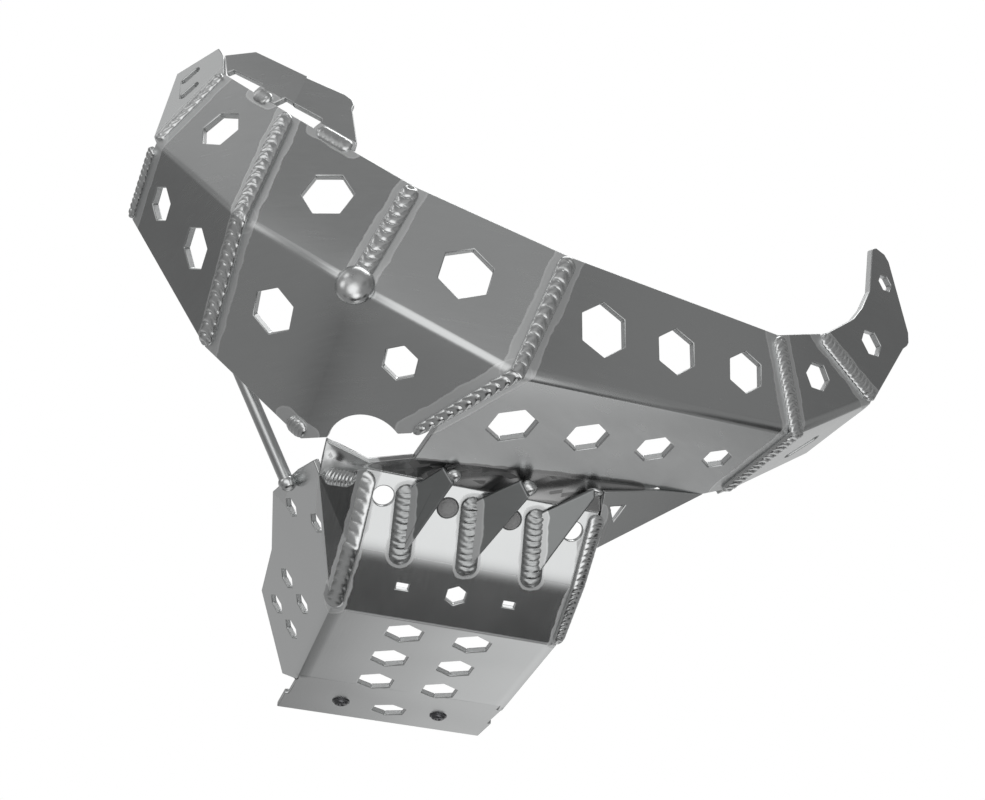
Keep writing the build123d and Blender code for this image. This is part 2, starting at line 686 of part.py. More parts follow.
def gusset(index):
    """Rib on the ramp, with its tip below the shelf."""
    step = index - 1
    foot = across(GUSSET_FOOT_SHIFT + step * GUSSET_FOOT_SPACING, knee)
    top = across(GUSSET_TOP_SHIFT + step * GUSSET_TOP_SPACING, knee + upper_climb * GUSSET_TOP_UP)
    seat = gusset_seat(index)
    tip = seat + panels[3].lower_out * GUSSET_TIP_DROPS[index]
    side = (top - foot).cross(tip - foot).normalized()
    start = side * (GUSSET_SHEET / 2)
    rise = panels[3].lower_out * -(GUSSET_TIP_DROPS[index] + TRAY_SHEET)
    tip_above = tip + rise - side * rise.dot(side)
    foot_behind = foot + (foot - tip) * GUSSET_SINK
    top_behind = top + (top - tip) * GUSSET_SINK
    with BuildPart() as rib:
        slab([p + start for p in (foot_behind, tip, tip_above, top_behind)], side, GUSSET_SHEET)
    return trimmed(rib.part, [skid_tray.part, guard_right_panel.part, frame_pads.part])


gusset_bodies = [gusset(index) for index in range(3)]
with BuildPart() as gusset_left:
    add(gusset_bodies[0])
with BuildPart() as gusset_centre:
    add(gusset_bodies[1])
with BuildPart() as gusset_right:
    add(gusset_bodies[2])

# Right support between the ramp's right edge and the tail of the guard's lower edge
support_corner = across(half_width + SUPPORT_GAP, crest)
support_tip = panels[3].on_lower(*d_heel)
support_low = across(half_width + SUPPORT_GAP, knee + upper_climb * SUPPORT_FOOT_UP)
support_length = (support_tip - support_corner).length
support_along = (support_tip - support_corner).normalized()
support_out = (support_tip - support_low).cross(support_corner - support_low).normalized()
if support_out.Y > 0:
    support_out = -support_out
support_plane = work_plane(support_corner, support_along, -support_out)
with BuildPart() as support_raw:
    with BuildSketch(support_plane):
        with BuildLine():
            low = support_plane.to_local_coords(spot(support_low))
            tip = support_plane.to_local_coords(spot(support_tip))
            waist = (SUPPORT_WAIST[0] * support_length, SUPPORT_WAIST[1])
            Polyline((low.X, low.Y), (tip.X, tip.Y), waist, (0, SUPPORT_ROOT), close=True)
        make_face()
        with BuildLine(mode=Mode.PRIVATE) as window:
            Polyline(*[(share * support_length, up) for share, up in SUPPORT_WINDOW], close=True)
        make_face(window.line, mode=Mode.SUBTRACT)
    extrude(amount=SUPPORT_SHEET)
support_body = trimmed(support_raw.part, [skid_tray.part, guard_right_panel.part] + gusset_bodies)
with BuildPart() as right_support:
    add(support_body)

# Stay rod from the left wing to the inside of the guard
rod_foot = wing_point(*ROD_FOOT) + wing_out * ROD_RADIUS
rod_top = panels[1].on_lower(*ROD_TOP) - panels[1].lower_out * (GUARD_SHEET + ROD_RADIUS)
rod_plane = Plane(origin=spot(rod_foot), z_dir=heading(rod_top - rod_foot))
with BuildPart() as rod_raw:
    with BuildSketch(rod_plane):
        Circle(ROD_RADIUS)
    extrude(amount=(rod_top - rod_foot).length)
rod_body = trimmed(rod_raw.part, [skid_tray.part, guard_centre_panel.part])
with BuildPart() as stay_rod:
    add(rod_body)

# Rear screws with button heads below the lip
with BuildPart() as rear_screws:
    with BuildSketch(Plane.XY.offset(-TRAY_SHEET)):
        with GridLocations(SCREW_SPACING, 0, 2, 1):
            Circle(SCREW_RADIUS + SCREW_NECK)
    extrude(amount=TRAY_SHEET)
    with BuildSketch(Plane.XY):
        with GridLocations(SCREW_SPACING, 0, 2, 1):
            Circle(SCREW_RADIUS)
    extrude(amount=SCREW_LENGTH - TRAY_SHEET)
    with BuildSketch(Plane.XY.offset(-TRAY_SHEET)):
        with GridLocations(SCREW_SPACING, 0, 2, 1):
            Circle(SCREW_HEAD_RADIUS)
    extrude(amount=-SCREW_HEAD_HEIGHT, taper=SCREW_HEAD_TAPER)

# Weld beads
def bead(points, radius, neighbours, ball=0.0):
    """Bead along a line of points in the tray's frame, cut back to the plates it joins."""
    with BuildPart() as rough:
        for start, end in zip(points[:-1], points[1:]):
            with BuildSketch(Plane(origin=spot(start), z_dir=heading(end - start))):
                Circle(radius)
            extrude(amount=(end - start).length)
        for point in points[1:-1]:
            with Locations(spot(point)):
                Sphere(radius)
        if ball:
            with Locations(spot(points[0])):
                Sphere(ball)
    return trimmed(rough.part, neighbours)


def seam_points(station, outward, upper):
    """Ends of a seam, raised off the plates."""
    rise = outward.normalized() * BEAD_RISE
    end = station.top - station.upper_way * BEAD_INSET
    if not upper:
        end = station.bottom - station.lower_way * BEAD_INSET
    return [station.ridge + rise, end + rise]


guard_nodes = [
    left_end_plate.part, guard_left_panel.part, guard_centre_panel.part, guard_right_panel.part,
    guard_tail_panel.part, right_end_plate.part,
]
end_points = seam_points(stations[0], first.upper_out, True)
end_upper = bead(end_points, BEAD_RADIUS, guard_nodes[0:2] + [top_flange.part])
with BuildPart() as weld_left_end:
    add(end_upper)

seam_bodies = []
for number in range(1, 5):
    left, right = panels[number - 1], panels[number]
    plates = [guard_left_panel.part, guard_centre_panel.part, guard_right_panel.part, guard_tail_panel.part]
    plates = plates + [top_flange.part, right_end_plate.part]
    upper_points = seam_points(stations[number], left.upper_out + right.upper_out, True)
    lower_points = seam_points(stations[number], left.lower_out + right.lower_out, False)
    seam_bodies.append((upper_points, lower_points, plates))

first_seam = bead(seam_bodies[0][0][::-1] + seam_bodies[0][1], BEAD_RADIUS, seam_bodies[0][2])
with BuildPart() as weld_seam_left:
    add(first_seam)
second_seam = bead(seam_bodies[1][0], BEAD_RADIUS, seam_bodies[1][2], BALL_RADIUS)
with BuildPart() as weld_seam_centre:
    add(second_seam)
third_seam = bead(seam_bodies[2][0][::-1] + seam_bodies[2][1], BEAD_RADIUS, seam_bodies[2][2])
with BuildPart() as weld_seam_right:
    add(third_seam)
fourth_seam = bead(seam_bodies[3][0][::-1] + seam_bodies[3][1], BEAD_RADIUS, seam_bodies[3][2])
with BuildPart() as weld_seam_tail:
    add(fourth_seam)
end_seam = bead(seam_points(stations[5], last.upper_out, True), BEAD_RADIUS, guard_nodes[4:6])
with BuildPart() as weld_right_end:
    add(end_seam)


def corner_bead(side):
    """Bead along the edge where a wing meets the ramp."""
    rise = (Vector(side, 0, 0) + lower_face) * CORNER_BEAD_RISE
    points = [across(side * half_width, p) for p in (Vector(0, 0, 0), knee, crest)]
    plates = [skid_tray.part, guard_right_panel.part, right_support.part] + gusset_bodies
    return bead([p + rise for p in points], CORNER_BEAD_RADIUS, plates)


corner_left = corner_bead(-1)
with BuildPart() as weld_corner_left:
    add(corner_left)
corner_right = corner_bead(1)
with BuildPart() as weld_corner_right:
    add(corner_right)


def gusset_bead(index):
    """Bead along the left foot of a gusset."""
    step = index - 1
    foot_x = GUSSET_FOOT_SHIFT + step * GUSSET_FOOT_SPACING - GUSSET_SHEET / 2
    top_x = GUSSET_TOP_SHIFT + step * GUSSET_TOP_SPACING - GUSSET_SHEET / 2
    foot = across(foot_x, knee + upper_climb * GUSSET_BEAD_FOOT)
    top = across(top_x, knee + upper_climb * (GUSSET_TOP_UP - GUSSET_BEAD_TOP))
    rise = upper_face * GUSSET_BEAD_RISE
    plates = [skid_tray.part, guard_right_panel.part] + gusset_bodies
    return bead([foot + rise, top + rise], SMALL_BEAD_RADIUS, plates)


gusset_beads = [gusset_bead(index) for index in range(3)]
with BuildPart() as weld_gusset_left:
    add(gusset_beads[0])
with BuildPart() as weld_gusset_centre:
    add(gusset_beads[1])
with BuildPart() as weld_gusset_right:
    add(gusset_beads[2])


def flange_bead(face, start, end):
    """Tack bead along the foot of the flange."""
    foot, along, up, normal = face
    rise = normal * BEAD_RISE
    plates = [guard_left_panel.part, guard_centre_panel.part, top_flange.part, weld_seam_left.part]
    return bead([foot + along * start + rise, foot + along * end + rise], SMALL_BEAD_RADIUS, plates)


flange_tack_left = flange_bead(left_face, FLANGE_TACK[0] + TACK_INSET, FLANGE_TACK[1] - TACK_INSET)
with BuildPart() as weld_flange_left:
    add(flange_tack_left)
flange_tack_right = flange_bead(right_face, FLANGE_RUN_START + TACK_INSET, FLANGE_RIGHT_LENGTH - BEAD_INSET)
with BuildPart() as weld_flange_right:
    add(flange_tack_right)

# Welds at the left end's lower edge, below the bite, and where the shelf, gussets, rod and support are joined
edge_points = seam_points(stations[0], first.lower_out, False)
edge_points[0] = edge_points[0] + stations[0].lower_way * 2 * BEAD_RADIUS
edge_plates = [guard_left_panel.part, left_end_plate.part, weld_left_end.part]
left_edge = bead(edge_points, SMALL_BEAD_RADIUS, edge_plates)
with BuildPart() as weld_left_edge:
    add(left_edge)
oval_points = [panels[1].on_lower(*p) + panels[1].lower_out * BEAD_RISE for p in OVAL_BEAD]
oval = bead(oval_points, BLOB_RADIUS, [guard_centre_panel.part, stay_rod.part])
with BuildPart() as weld_oval:
    add(oval)
sill_plates = [skid_tray.part, guard_right_panel.part, guard_centre_panel.part, weld_corner_left.part]
sill_run = left_crest - left_fold
sill_points = [left_fold + sill_run * share + upper_face * BEAD_RISE for share in SILL_BEAD]
sill = bead(sill_points, BEAD_RADIUS, sill_plates)
with BuildPart() as weld_sill:
    add(sill)
rod_end = rod_foot + (rod_top - rod_foot).normalized() * BLOB_RADIUS
rod_blob = bead([rod_foot, rod_end], BLOB_RADIUS, [skid_tray.part, stay_rod.part])
with BuildPart() as weld_rod_foot:
    add(rod_blob)


def tip_bead(index):
    """Blob between a gusset's tip and the shelf."""
    seat = gusset_seat(index)
    tip = seat + panels[3].lower_out * (GUSSET_TIP_DROPS[index] - TACK_INSET)
    plates = [guard_right_panel.part, skid_tray.part, right_support.part, weld_corner_right.part]
    plates = plates + gusset_bodies
    return bead([tip, seat + panels[3].lower_out * TACK_INSET], BLOB_RADIUS, plates)


tip_beads = [tip_bead(index) for index in range(3)]
with BuildPart() as weld_tip_left:
    add(tip_beads[0])
with BuildPart() as weld_tip_centre:
    add(tip_beads[1])
with BuildPart() as weld_tip_right:
    add(tip_beads[2])

nodes = {
    "skid_tray": skid_tray,
    "guard_left_panel": guard_left_panel,
    "guard_centre_panel": guard_centre_panel,
    "guard_right_panel": guard_right_panel,
    "guard_tail_panel": guard_tail_panel,
    "left_end_plate": left_end_plate,
    "right_end_plate": right_end_plate,
    "top_flange": top_flange,
    "gusset_left": gusset_left,
    "gusset_centre": gusset_centre,
    "gusset_right": gusset_right,
    "right_support": right_support,
    "stay_rod": stay_rod,
    "rear_screws": rear_screws,
    "frame_pads": frame_pads,
    "weld_left_end": weld_left_end,
    "weld_seam_left": weld_seam_left,
    "weld_seam_centre": weld_seam_centre,
    "weld_seam_right": weld_seam_right,
    "weld_seam_tail": weld_seam_tail,
    "weld_right_end": weld_right_end,
    "weld_corner_left": weld_corner_left,
    "weld_corner_right": weld_corner_right,
    "weld_gusset_left": weld_gusset_left,
    "weld_gusset_centre": weld_gusset_centre,
    "weld_gusset_right": weld_gusset_right,
    "weld_flange_left": weld_flange_left,
    "weld_flange_right": weld_flange_right,
    "weld_left_edge": weld_left_edge,
    "weld_oval": weld_oval,
    "weld_sill": weld_sill,
    "weld_rod_foot": weld_rod_foot,
    "weld_tip_left": weld_tip_left,
    "weld_tip_centre": weld_tip_centre,
    "weld_tip_right": weld_tip_right,
}
os.makedirs("parts", exist_ok=True)
for name, node in nodes.items():
    node.part.label = name
    export_step(node.part, f"parts/{name}.step")
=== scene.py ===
"""Looks of a welded aluminium skid plate with an exhaust pipe guard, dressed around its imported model."""

import json
import logging
import math
from dataclasses import dataclass, field, replace
from enum import Enum
from typing import Optional, Sequence

import bmesh
import bpy
from mathutils import Matrix, Vector, noise
from mathutils.bvhtree import BVHTree

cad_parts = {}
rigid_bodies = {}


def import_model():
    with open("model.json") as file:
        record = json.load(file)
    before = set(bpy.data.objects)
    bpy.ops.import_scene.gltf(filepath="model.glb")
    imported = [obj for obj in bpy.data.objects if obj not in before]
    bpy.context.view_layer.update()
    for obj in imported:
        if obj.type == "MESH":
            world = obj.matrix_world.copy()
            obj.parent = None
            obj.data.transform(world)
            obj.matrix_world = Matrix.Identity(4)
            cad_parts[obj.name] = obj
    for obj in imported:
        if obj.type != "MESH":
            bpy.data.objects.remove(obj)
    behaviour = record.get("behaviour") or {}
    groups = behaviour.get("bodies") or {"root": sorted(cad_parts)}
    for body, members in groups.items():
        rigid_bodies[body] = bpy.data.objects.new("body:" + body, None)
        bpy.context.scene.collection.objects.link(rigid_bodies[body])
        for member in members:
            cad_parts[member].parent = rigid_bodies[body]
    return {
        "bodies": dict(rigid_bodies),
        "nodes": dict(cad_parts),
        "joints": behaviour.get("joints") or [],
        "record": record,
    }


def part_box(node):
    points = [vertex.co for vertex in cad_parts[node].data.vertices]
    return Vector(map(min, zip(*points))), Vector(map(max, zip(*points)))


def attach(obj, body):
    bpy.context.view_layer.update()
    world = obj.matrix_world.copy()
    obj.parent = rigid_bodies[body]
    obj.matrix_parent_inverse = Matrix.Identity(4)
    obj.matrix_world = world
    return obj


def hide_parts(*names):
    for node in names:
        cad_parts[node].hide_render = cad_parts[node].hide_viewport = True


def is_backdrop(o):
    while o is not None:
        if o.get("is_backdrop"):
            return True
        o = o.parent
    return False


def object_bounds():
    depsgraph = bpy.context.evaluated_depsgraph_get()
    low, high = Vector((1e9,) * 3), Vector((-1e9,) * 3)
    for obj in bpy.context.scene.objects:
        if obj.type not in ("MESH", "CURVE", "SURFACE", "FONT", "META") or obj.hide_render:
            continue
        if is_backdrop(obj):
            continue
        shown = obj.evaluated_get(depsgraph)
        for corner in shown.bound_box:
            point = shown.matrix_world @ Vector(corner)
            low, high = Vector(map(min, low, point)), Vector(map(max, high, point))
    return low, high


LOG = logging.getLogger("skid_plate")
MM = 0.001
BODY = "root"
SIDES = (-1, 1)
GUSSETS = ("left", "centre", "right")
Colour = tuple[float, float, float]
Outputs = bpy.types.bpy_prop_collection


class Slot(Enum):
    """Material slots of the record."""

    TRAY = "tray_sheet"
    GUARD = "guard_sheet"
    ROD = "rod"
    SCREW = "screw"
    PAD = "pad"
    WELD = "weld"


class Socket(Enum):
    """Kinds of socket on the node groups."""

    NUMBER = "NodeSocketFloat"
    VECTOR = "NodeSocketVector"
    COLOUR = "NodeSocketColor"
    SHAPE = "NodeSocketGeometry"
    MATERIAL = "NodeSocketMaterial"
    OBJECT = "NodeSocketObject"


@dataclass(frozen=True)
class MetalFinish:
    """Bare metal: how light it is, how it scatters and how its grain runs.

    Grain is in noise cells per metre along each axis, mottle is the share by which shade and roughness sway,
    and wave is the height of the sheet's slow waves.
    """

    colour: Colour
    roughness: float
    grain: tuple[float, float, float]
    grain_depth: float
    mottle: float
    wave: float = 0.9 * MM
    grain_relief: float = 0.4 * MM


@dataclass(frozen=True)
class DarkFinish:
    """Black oxide or rubber with a rough skin, whose specks are in noise cells per metre."""

    colour: Colour
    roughness: float
    specks: float
    depth: float
    metallic: float = 0.0
    lighter: float = 1.7
    sway: float = 0.08
    relief: float = 0.6 * MM


@dataclass(frozen=True)
class HaloFinish:
    """Frosted band beside a weld, with a lighter rim along its wavering edge."""

    colour: Colour = (0.74, 0.75, 0.75)
    rim_colour: Colour = (0.90, 0.91, 0.91)
    rim_share: float = 0.6
    roughness: float = 0.46
    edge: float = 1.0 * MM
    wobble: float = 4.5 * MM
    wave: float = 75.0


@dataclass(frozen=True)
class CutFinish:
    """Sawn edge of a sheet, on the faces that carry its mark."""

    mark: str = "cut"
    colour: Colour = (0.78, 0.79, 0.79)
    roughness: float = 0.55


@dataclass(frozen=True)
class Softbox:
    """Soft patch of the studio, seen from the object, that adds or takes light.

    All angles are in degrees. Azimuth is measured from +Y towards +X, and elevation above the horizon.
    The patch is even within its core and fades out at its reach.
    """

    azimuth: float
    elevation: float
    core: float
    reach: float
    strength: float

    def direction(self) -> Vector:
        """Works out where the patch is.

        Returns:
            Unit vector from the object towards it.
        """
        turn = math.radians(self.azimuth)
        rise = math.radians(self.elevation)
        flat = math.cos(rise)
        return Vector((math.sin(turn) * flat, math.cos(turn) * flat, math.sin(rise)))


@dataclass(frozen=True)
class Seam:
    """Straight stretch of a weld, in the row frame, with the way it faces and its frosted band's width."""

    start: Vector
    end: Vector
    outward: Vector
    halo: float = 11.0 * MM


@dataclass(frozen=True)
class Fold:
    """Line that a sheet is folded along: from how far it rolls towards it, and by how much."""

    line: Seam
    reach: float = 34.0 * MM
    depth: float = 1.1 * MM


TRAY_METAL = MetalFinish((0.62, 0.63, 0.63), 0.25, (900.0, 60.0, 60.0), 0.04, 0.05)
GUARD_METAL = MetalFinish((0.60, 0.61, 0.61), 0.26, (60.0, 60.0, 700.0), 0.05, 0.06)
# Painted shade: a darker copy of the tray's aluminium for the gussets in the recess under the guard.
SHADED_GUSSET_METAL = MetalFinish((0.32, 0.33, 0.33), 0.44, (60.0, 60.0, 700.0), 0.06, 0.08)
ROD_METAL = MetalFinish((0.62, 0.63, 0.63), 0.32, (300.0, 300.0, 40.0), 0.05, 0.06)
WELD_METAL = MetalFinish((0.72, 0.73, 0.73), 0.24, (260.0, 260.0, 260.0), 0.25, 0.12, 0.0)
# Painted shade: a darker copy of the weld metal for the gusset beads in the recess under the guard.
SHADED_WELD = MetalFinish((0.43, 0.44, 0.44), 0.30, (260.0, 260.0, 260.0), 0.3, 0.25, 0.0)
BLACK_OXIDE = DarkFinish((0.10, 0.10, 0.105), 0.24, 900.0, 0.15, 0.9)
GREY_RUBBER = DarkFinish((0.30, 0.30, 0.30), 0.62, 700.0, 0.8)
HALO = HaloFinish()
SAWN = CutFinish()
# Painted shade: dark grey mixed into the shelf under the guard, where the sheet lies in shade.
PAINTED_SHADE = (0.32, 0.32, 0.32)
WHITE = (1.0, 1.0, 1.0)


def opaque(colour: Colour) -> tuple[float, float, float, float]:
    """Colour with full alpha."""
    return (*colour, 1.0)


class Tree:
    """Small helper around a node tree."""

    def __init__(self, tree: bpy.types.NodeTree) -> None:
        """Keeps the tree.

        Args:
            tree: Shader or geometry node tree to fill.
        """
        self.tree = tree

    def plug(self, socket: bpy.types.NodeSocket, value: object) -> None:
        """Feeds an input.

        Args:
            socket: The input.
            value: Output socket to link to it, or plain value to set on it.
        """
        if isinstance(value, bpy.types.NodeSocket):
            self.tree.links.new(value, socket)
        else:
            socket.default_value = value

    def add(self, kind: str, inputs: Optional[dict] = None, **settings: object) -> bpy.types.Node:
        """Adds a node.

        Args:
            kind: Node type.
            inputs: Socket name or index to a plain value or an output socket.
            **settings: Properties of the node.

        Returns:
            The new node.
        """
        node = self.tree.nodes.new(kind)
        for key, value in settings.items():
            setattr(node, key, value)
        for key, value in (inputs or {}).items():
            self.plug(node.inputs[key], value)
        return node

    def maths(
        self, operation: str, first: object, second: object = 0.0, clamp: bool = False,
    ) -> bpy.types.NodeSocket:
        """Adds a Math node and returns its result."""
        node = self.add("ShaderNodeMath", {0: first, 1: second}, operation=operation, use_clamp=clamp)
        return node.outputs[0]

    def vector(self, operation: str, first: object, second: object = (0.0, 0.0, 0.0)) -> bpy.types.Node:
        """Adds a Vector Math node and returns it."""
        return self.add("ShaderNodeVectorMath", {0: first, 1: second}, operation=operation)

    def scaled(self, vector: object, factor: object) -> bpy.types.NodeSocket:
        """Adds a vector or colour times a factor and returns it."""
        return self.add("ShaderNodeVectorMath", {0: vector, "Scale": factor}, operation="SCALE").outputs[0]

    def ramp(
        self, value: object, low: float, high: float, to_low: float = 0.0, to_high: float = 1.0,
    ) -> bpy.types.NodeSocket:
        """Adds a smooth Map Range node and returns its result."""
        inputs = {"Value": value, 1: low, 2: high, 3: to_low, 4: to_high}
        return self.add("ShaderNodeMapRange", inputs, interpolation_type="SMOOTHSTEP").outputs[0]

    def place(self) -> bpy.types.NodeSocket:
        """Adds the place on the piece, in Object coordinates, and returns it."""
        return self.add("ShaderNodeTexCoord").outputs["Object"]

    def specks(self, place: object, scale: float, detail: float) -> bpy.types.NodeSocket:
        """Adds soft noise between 0 and 1 and returns it."""
        inputs = {"Vector": place, "Scale": scale, "Detail": detail}
        return self.add("ShaderNodeTexNoise", inputs).outputs["Fac"]

    def sway(self, specks: object, size: object) -> bpy.types.NodeSocket:
        """Adds noise about zero, of a given size, and returns it."""
        return self.maths("MULTIPLY", self.maths("SUBTRACT", specks, 0.5), size)

    def towards(self, share: object, first: object, second: object) -> bpy.types.NodeSocket:
        """Adds a number that goes from one value to another by a share, and returns it."""
        gap = self.maths("SUBTRACT", second, first)
        return self.maths("ADD", first, self.maths("MULTIPLY", gap, share))

    def mix(self, share: object, first: object, second: object) -> bpy.types.NodeSocket:
        """Mixes two colours.

        Args:
            share: How much of the second there is.
            first: First colour.
            second: Second colour.

        Returns:
            The result.
        """
        node = self.add("ShaderNodeMix", data_type="RGBA")
        sockets = [socket for socket in node.inputs if socket.enabled]
        for socket, value in zip(sockets, (share, first, second)):
            self.plug(socket, value)
        return next(socket for socket in node.outputs if socket.enabled)

    def largest(self, values: Sequence[bpy.types.NodeSocket]) -> bpy.types.NodeSocket:
        """Adds the largest of several values.

        Args:
            values: Output sockets, one or more.

        Returns:
            The result.
        """
        total = values[0]
        for value in values[1:]:
            total = self.maths("MAXIMUM", total, value)
        return total


def new_group(
    name: str, kind: str, inputs: dict[str, Socket], outputs: dict[str, Socket],
) -> tuple[Tree, Outputs]:
    """Makes an empty node group.

    Args:
        name: Name of the group.
        kind: Type of node tree.
        inputs: Named sockets that go in.
        outputs: Named sockets that come out.

    Returns:
        A helper for the group and the sockets that its input node gives.
    """
    group = bpy.data.node_groups.new(name, kind)
    for way, sockets in (("INPUT", inputs), ("OUTPUT", outputs)):
        for title, socket in sockets.items():
            group.interface.new_socket(title, in_out=way, socket_type=socket.value)
    tree = Tree(group)
    return tree, tree.add("NodeGroupInput").outputs


def away_from_line(tree: Tree, given: Outputs, place: bpy.types.NodeSocket) -> bpy.types.NodeSocket:
    """Adds the distance from a place to the stretch between a group's Start and End.

    Args:
        tree: Helper around the group.
        given: What the group's input node gives.
        place: Position on the piece.

    Returns:
        The distance.
    """
    to_place = tree.vector("SUBTRACT", place, given["Start"]).outputs[0]
    to_end = tree.vector("SUBTRACT", given["End"], given["Start"]).outputs[0]
    along = tree.vector("DOT_PRODUCT", to_place, to_end).outputs["Value"]
    whole = tree.vector("DOT_PRODUCT", to_end, to_end).outputs["Value"]
    share = tree.maths("DIVIDE", along, whole, clamp=True)
    return tree.vector("DISTANCE", to_place, tree.scaled(to_end, share)).outputs["Value"]


class Finishes:
    """Workshop that mixes the materials from the shared groups."""

    line = {"Start": Socket.VECTOR, "End": Socket.VECTOR}
    roll_curve = 2.5
    halo_detail = 2.0
    grain_detail = 4.0
    cloud_scale = 22.0
    cloud_detail = 3.0
    swell_scale = 11.0
    swell_detail = 1.0
    dark_detail = 4.0
    dark_span = (0.2, 0.8)

    def __init__(self) -> None:
        """Builds the shared node groups."""
        self.halo = self.halo_group()
        self.grain = self.grain_group()
        self.roll = self.roll_group()

    def roll_group(self) -> bpy.types.NodeTree:
        """Builds the group for the sheet's gentle roll towards a fold.

        Returns:
            Group with Start, End, Reach and Depth in, and Height out.
        """
        sockets = {**self.line, "Reach": Socket.NUMBER, "Depth": Socket.NUMBER}
        tree, given = new_group("fold_roll", "ShaderNodeTree", sockets, {"Height": Socket.NUMBER})
        away = away_from_line(tree, given, tree.place())
        near = tree.maths("SUBTRACT", 1.0, tree.maths("DIVIDE", away, given["Reach"]), clamp=True)
        drop = tree.maths("MULTIPLY", tree.maths("POWER", near, self.roll_curve), given["Depth"])
        tree.add("NodeGroupOutput", {"Height": tree.maths("MULTIPLY", drop, -1.0)})
        return tree.tree

    def halo_group(self) -> bpy.types.NodeTree:
        """Builds the group that masks the frosted band along one stretch of weld.

        Returns:
            Group with Start, End, Width and Wobble in, and Mask and Rim out.
        """
        sockets = {**self.line, "Width": Socket.NUMBER, "Wobble": Socket.NUMBER}
        outputs = {"Mask": Socket.NUMBER, "Rim": Socket.NUMBER}
        tree, given = new_group("weld_halo", "ShaderNodeTree", sockets, outputs)
        place = tree.place()
        away = away_from_line(tree, given, place)
        shift = tree.sway(tree.specks(place, HALO.wave, self.halo_detail), given["Wobble"])
        excess = tree.maths("SUBTRACT", tree.maths("ADD", away, shift), given["Width"])
        mask = tree.ramp(excess, -HALO.edge, 0.0, 1.0, 0.0)
        from_rim = tree.maths("ABSOLUTE", tree.maths("ADD", excess, HALO.edge))
        tree.add("NodeGroupOutput", {"Mask": mask, "Rim": tree.ramp(from_rim, 0.0, HALO.edge, 1.0, 0.0)})
        return tree.tree

    def grain_group(self) -> bpy.types.NodeTree:
        """Builds the group for the grain, mottle and waves that all bare metal shares.

        Returns:
            Group with Color, Roughness, Grain, Mottle and Wave in, and Color, Roughness, Height and Wave out.
        """
        shared = {"Color": Socket.COLOUR, "Roughness": Socket.NUMBER}
        sockets = {**shared, "Grain": Socket.VECTOR, "Mottle": Socket.NUMBER, "Wave": Socket.NUMBER}
        outputs = {**shared, "Height": Socket.NUMBER, "Wave": Socket.NUMBER}
        tree, given = new_group("metal_grain", "ShaderNodeTree", sockets, outputs)
        place = tree.place()
        grain = tree.specks(tree.vector("MULTIPLY", place, given["Grain"]).outputs[0], 1.0, self.grain_detail)
        cloud = tree.specks(place, self.cloud_scale, self.cloud_detail)
        sway = tree.maths("ADD", tree.sway(cloud, given["Mottle"]), tree.sway(grain, given["Mottle"]))
        swell = tree.specks(place, self.swell_scale, self.swell_detail)
        tree.add("NodeGroupOutput", {
            "Color": tree.scaled(given["Color"], tree.maths("ADD", 1.0, sway)),
            "Roughness": tree.maths("ADD", given["Roughness"], sway),
            "Height": grain,
            "Wave": tree.maths("MULTIPLY", swell, given["Wave"]),
        })
        return tree.tree

    def blank(self, name: str, metallic: float) -> tuple[bpy.types.Material, Tree]:
        """Makes a material whose Metallic is a plain value.

        Args:
            name: Name of the material.
            metallic: How much it reflects as metal does.

        Returns:
            The material and a helper around its nodes.
        """
        material = bpy.data.materials.new(name)
        material.use_nodes = True
        material.node_tree.nodes["Principled BSDF"].inputs["Metallic"].default_value = metallic
        return material, Tree(material.node_tree)

    def coat(self, tree: Tree, colour: object, rough: object, bump: bpy.types.Node) -> None:
        """Feeds a material's shader.

        Args:
            tree: Helper around the material's nodes.
            colour: Base colour.
            rough: Roughness.
            bump: Node that gives the normal.
        """
        sockets = tree.tree.nodes["Principled BSDF"].inputs
        tree.plug(sockets["Base Color"], colour)
        tree.plug(sockets["Roughness"], rough)
        tree.plug(sockets["Normal"], bump.outputs["Normal"])

    def band(self, tree: Tree, seam: Seam) -> Outputs:
        """Adds the band along a seam and returns its Mask and Rim."""
        inputs = {"Start": seam.start, "End": seam.end, "Width": seam.halo, "Wobble": HALO.wobble}
        return tree.add("ShaderNodeGroup", inputs, node_tree=self.halo).outputs

    def metal(
        self, name: str, finish: MetalFinish, seams: Sequence[Seam] = (), folds: Sequence[Fold] = (),
        shaded: Sequence[Seam] = (),
    ) -> bpy.types.Material:
        """Makes bare metal with a frosted band beside each seam and a gentle roll towards each fold.

        Args:
            name: Name of the material.
            finish: Colour, roughness and grain.
            seams: Welds whose heat frosted the sheet.
            folds: Lines that the sheet is folded along.
            shaded: Lines along which painted shade darkens the sheet.

        Returns:
            The material.
        """
        material, tree = self.blank(name, 1.0)
        given = {
            "Color": opaque(finish.colour), "Roughness": finish.roughness, "Grain": finish.grain,
            "Mottle": finish.mottle, "Wave": finish.wave,
        }
        grain = tree.add("ShaderNodeGroup", given, node_tree=self.grain).outputs
        sawn = tree.add("ShaderNodeAttribute", attribute_name=SAWN.mark).outputs["Fac"]
        colour = tree.mix(sawn, grain["Color"], opaque(SAWN.colour))
        rough = tree.towards(sawn, grain["Roughness"], SAWN.roughness)
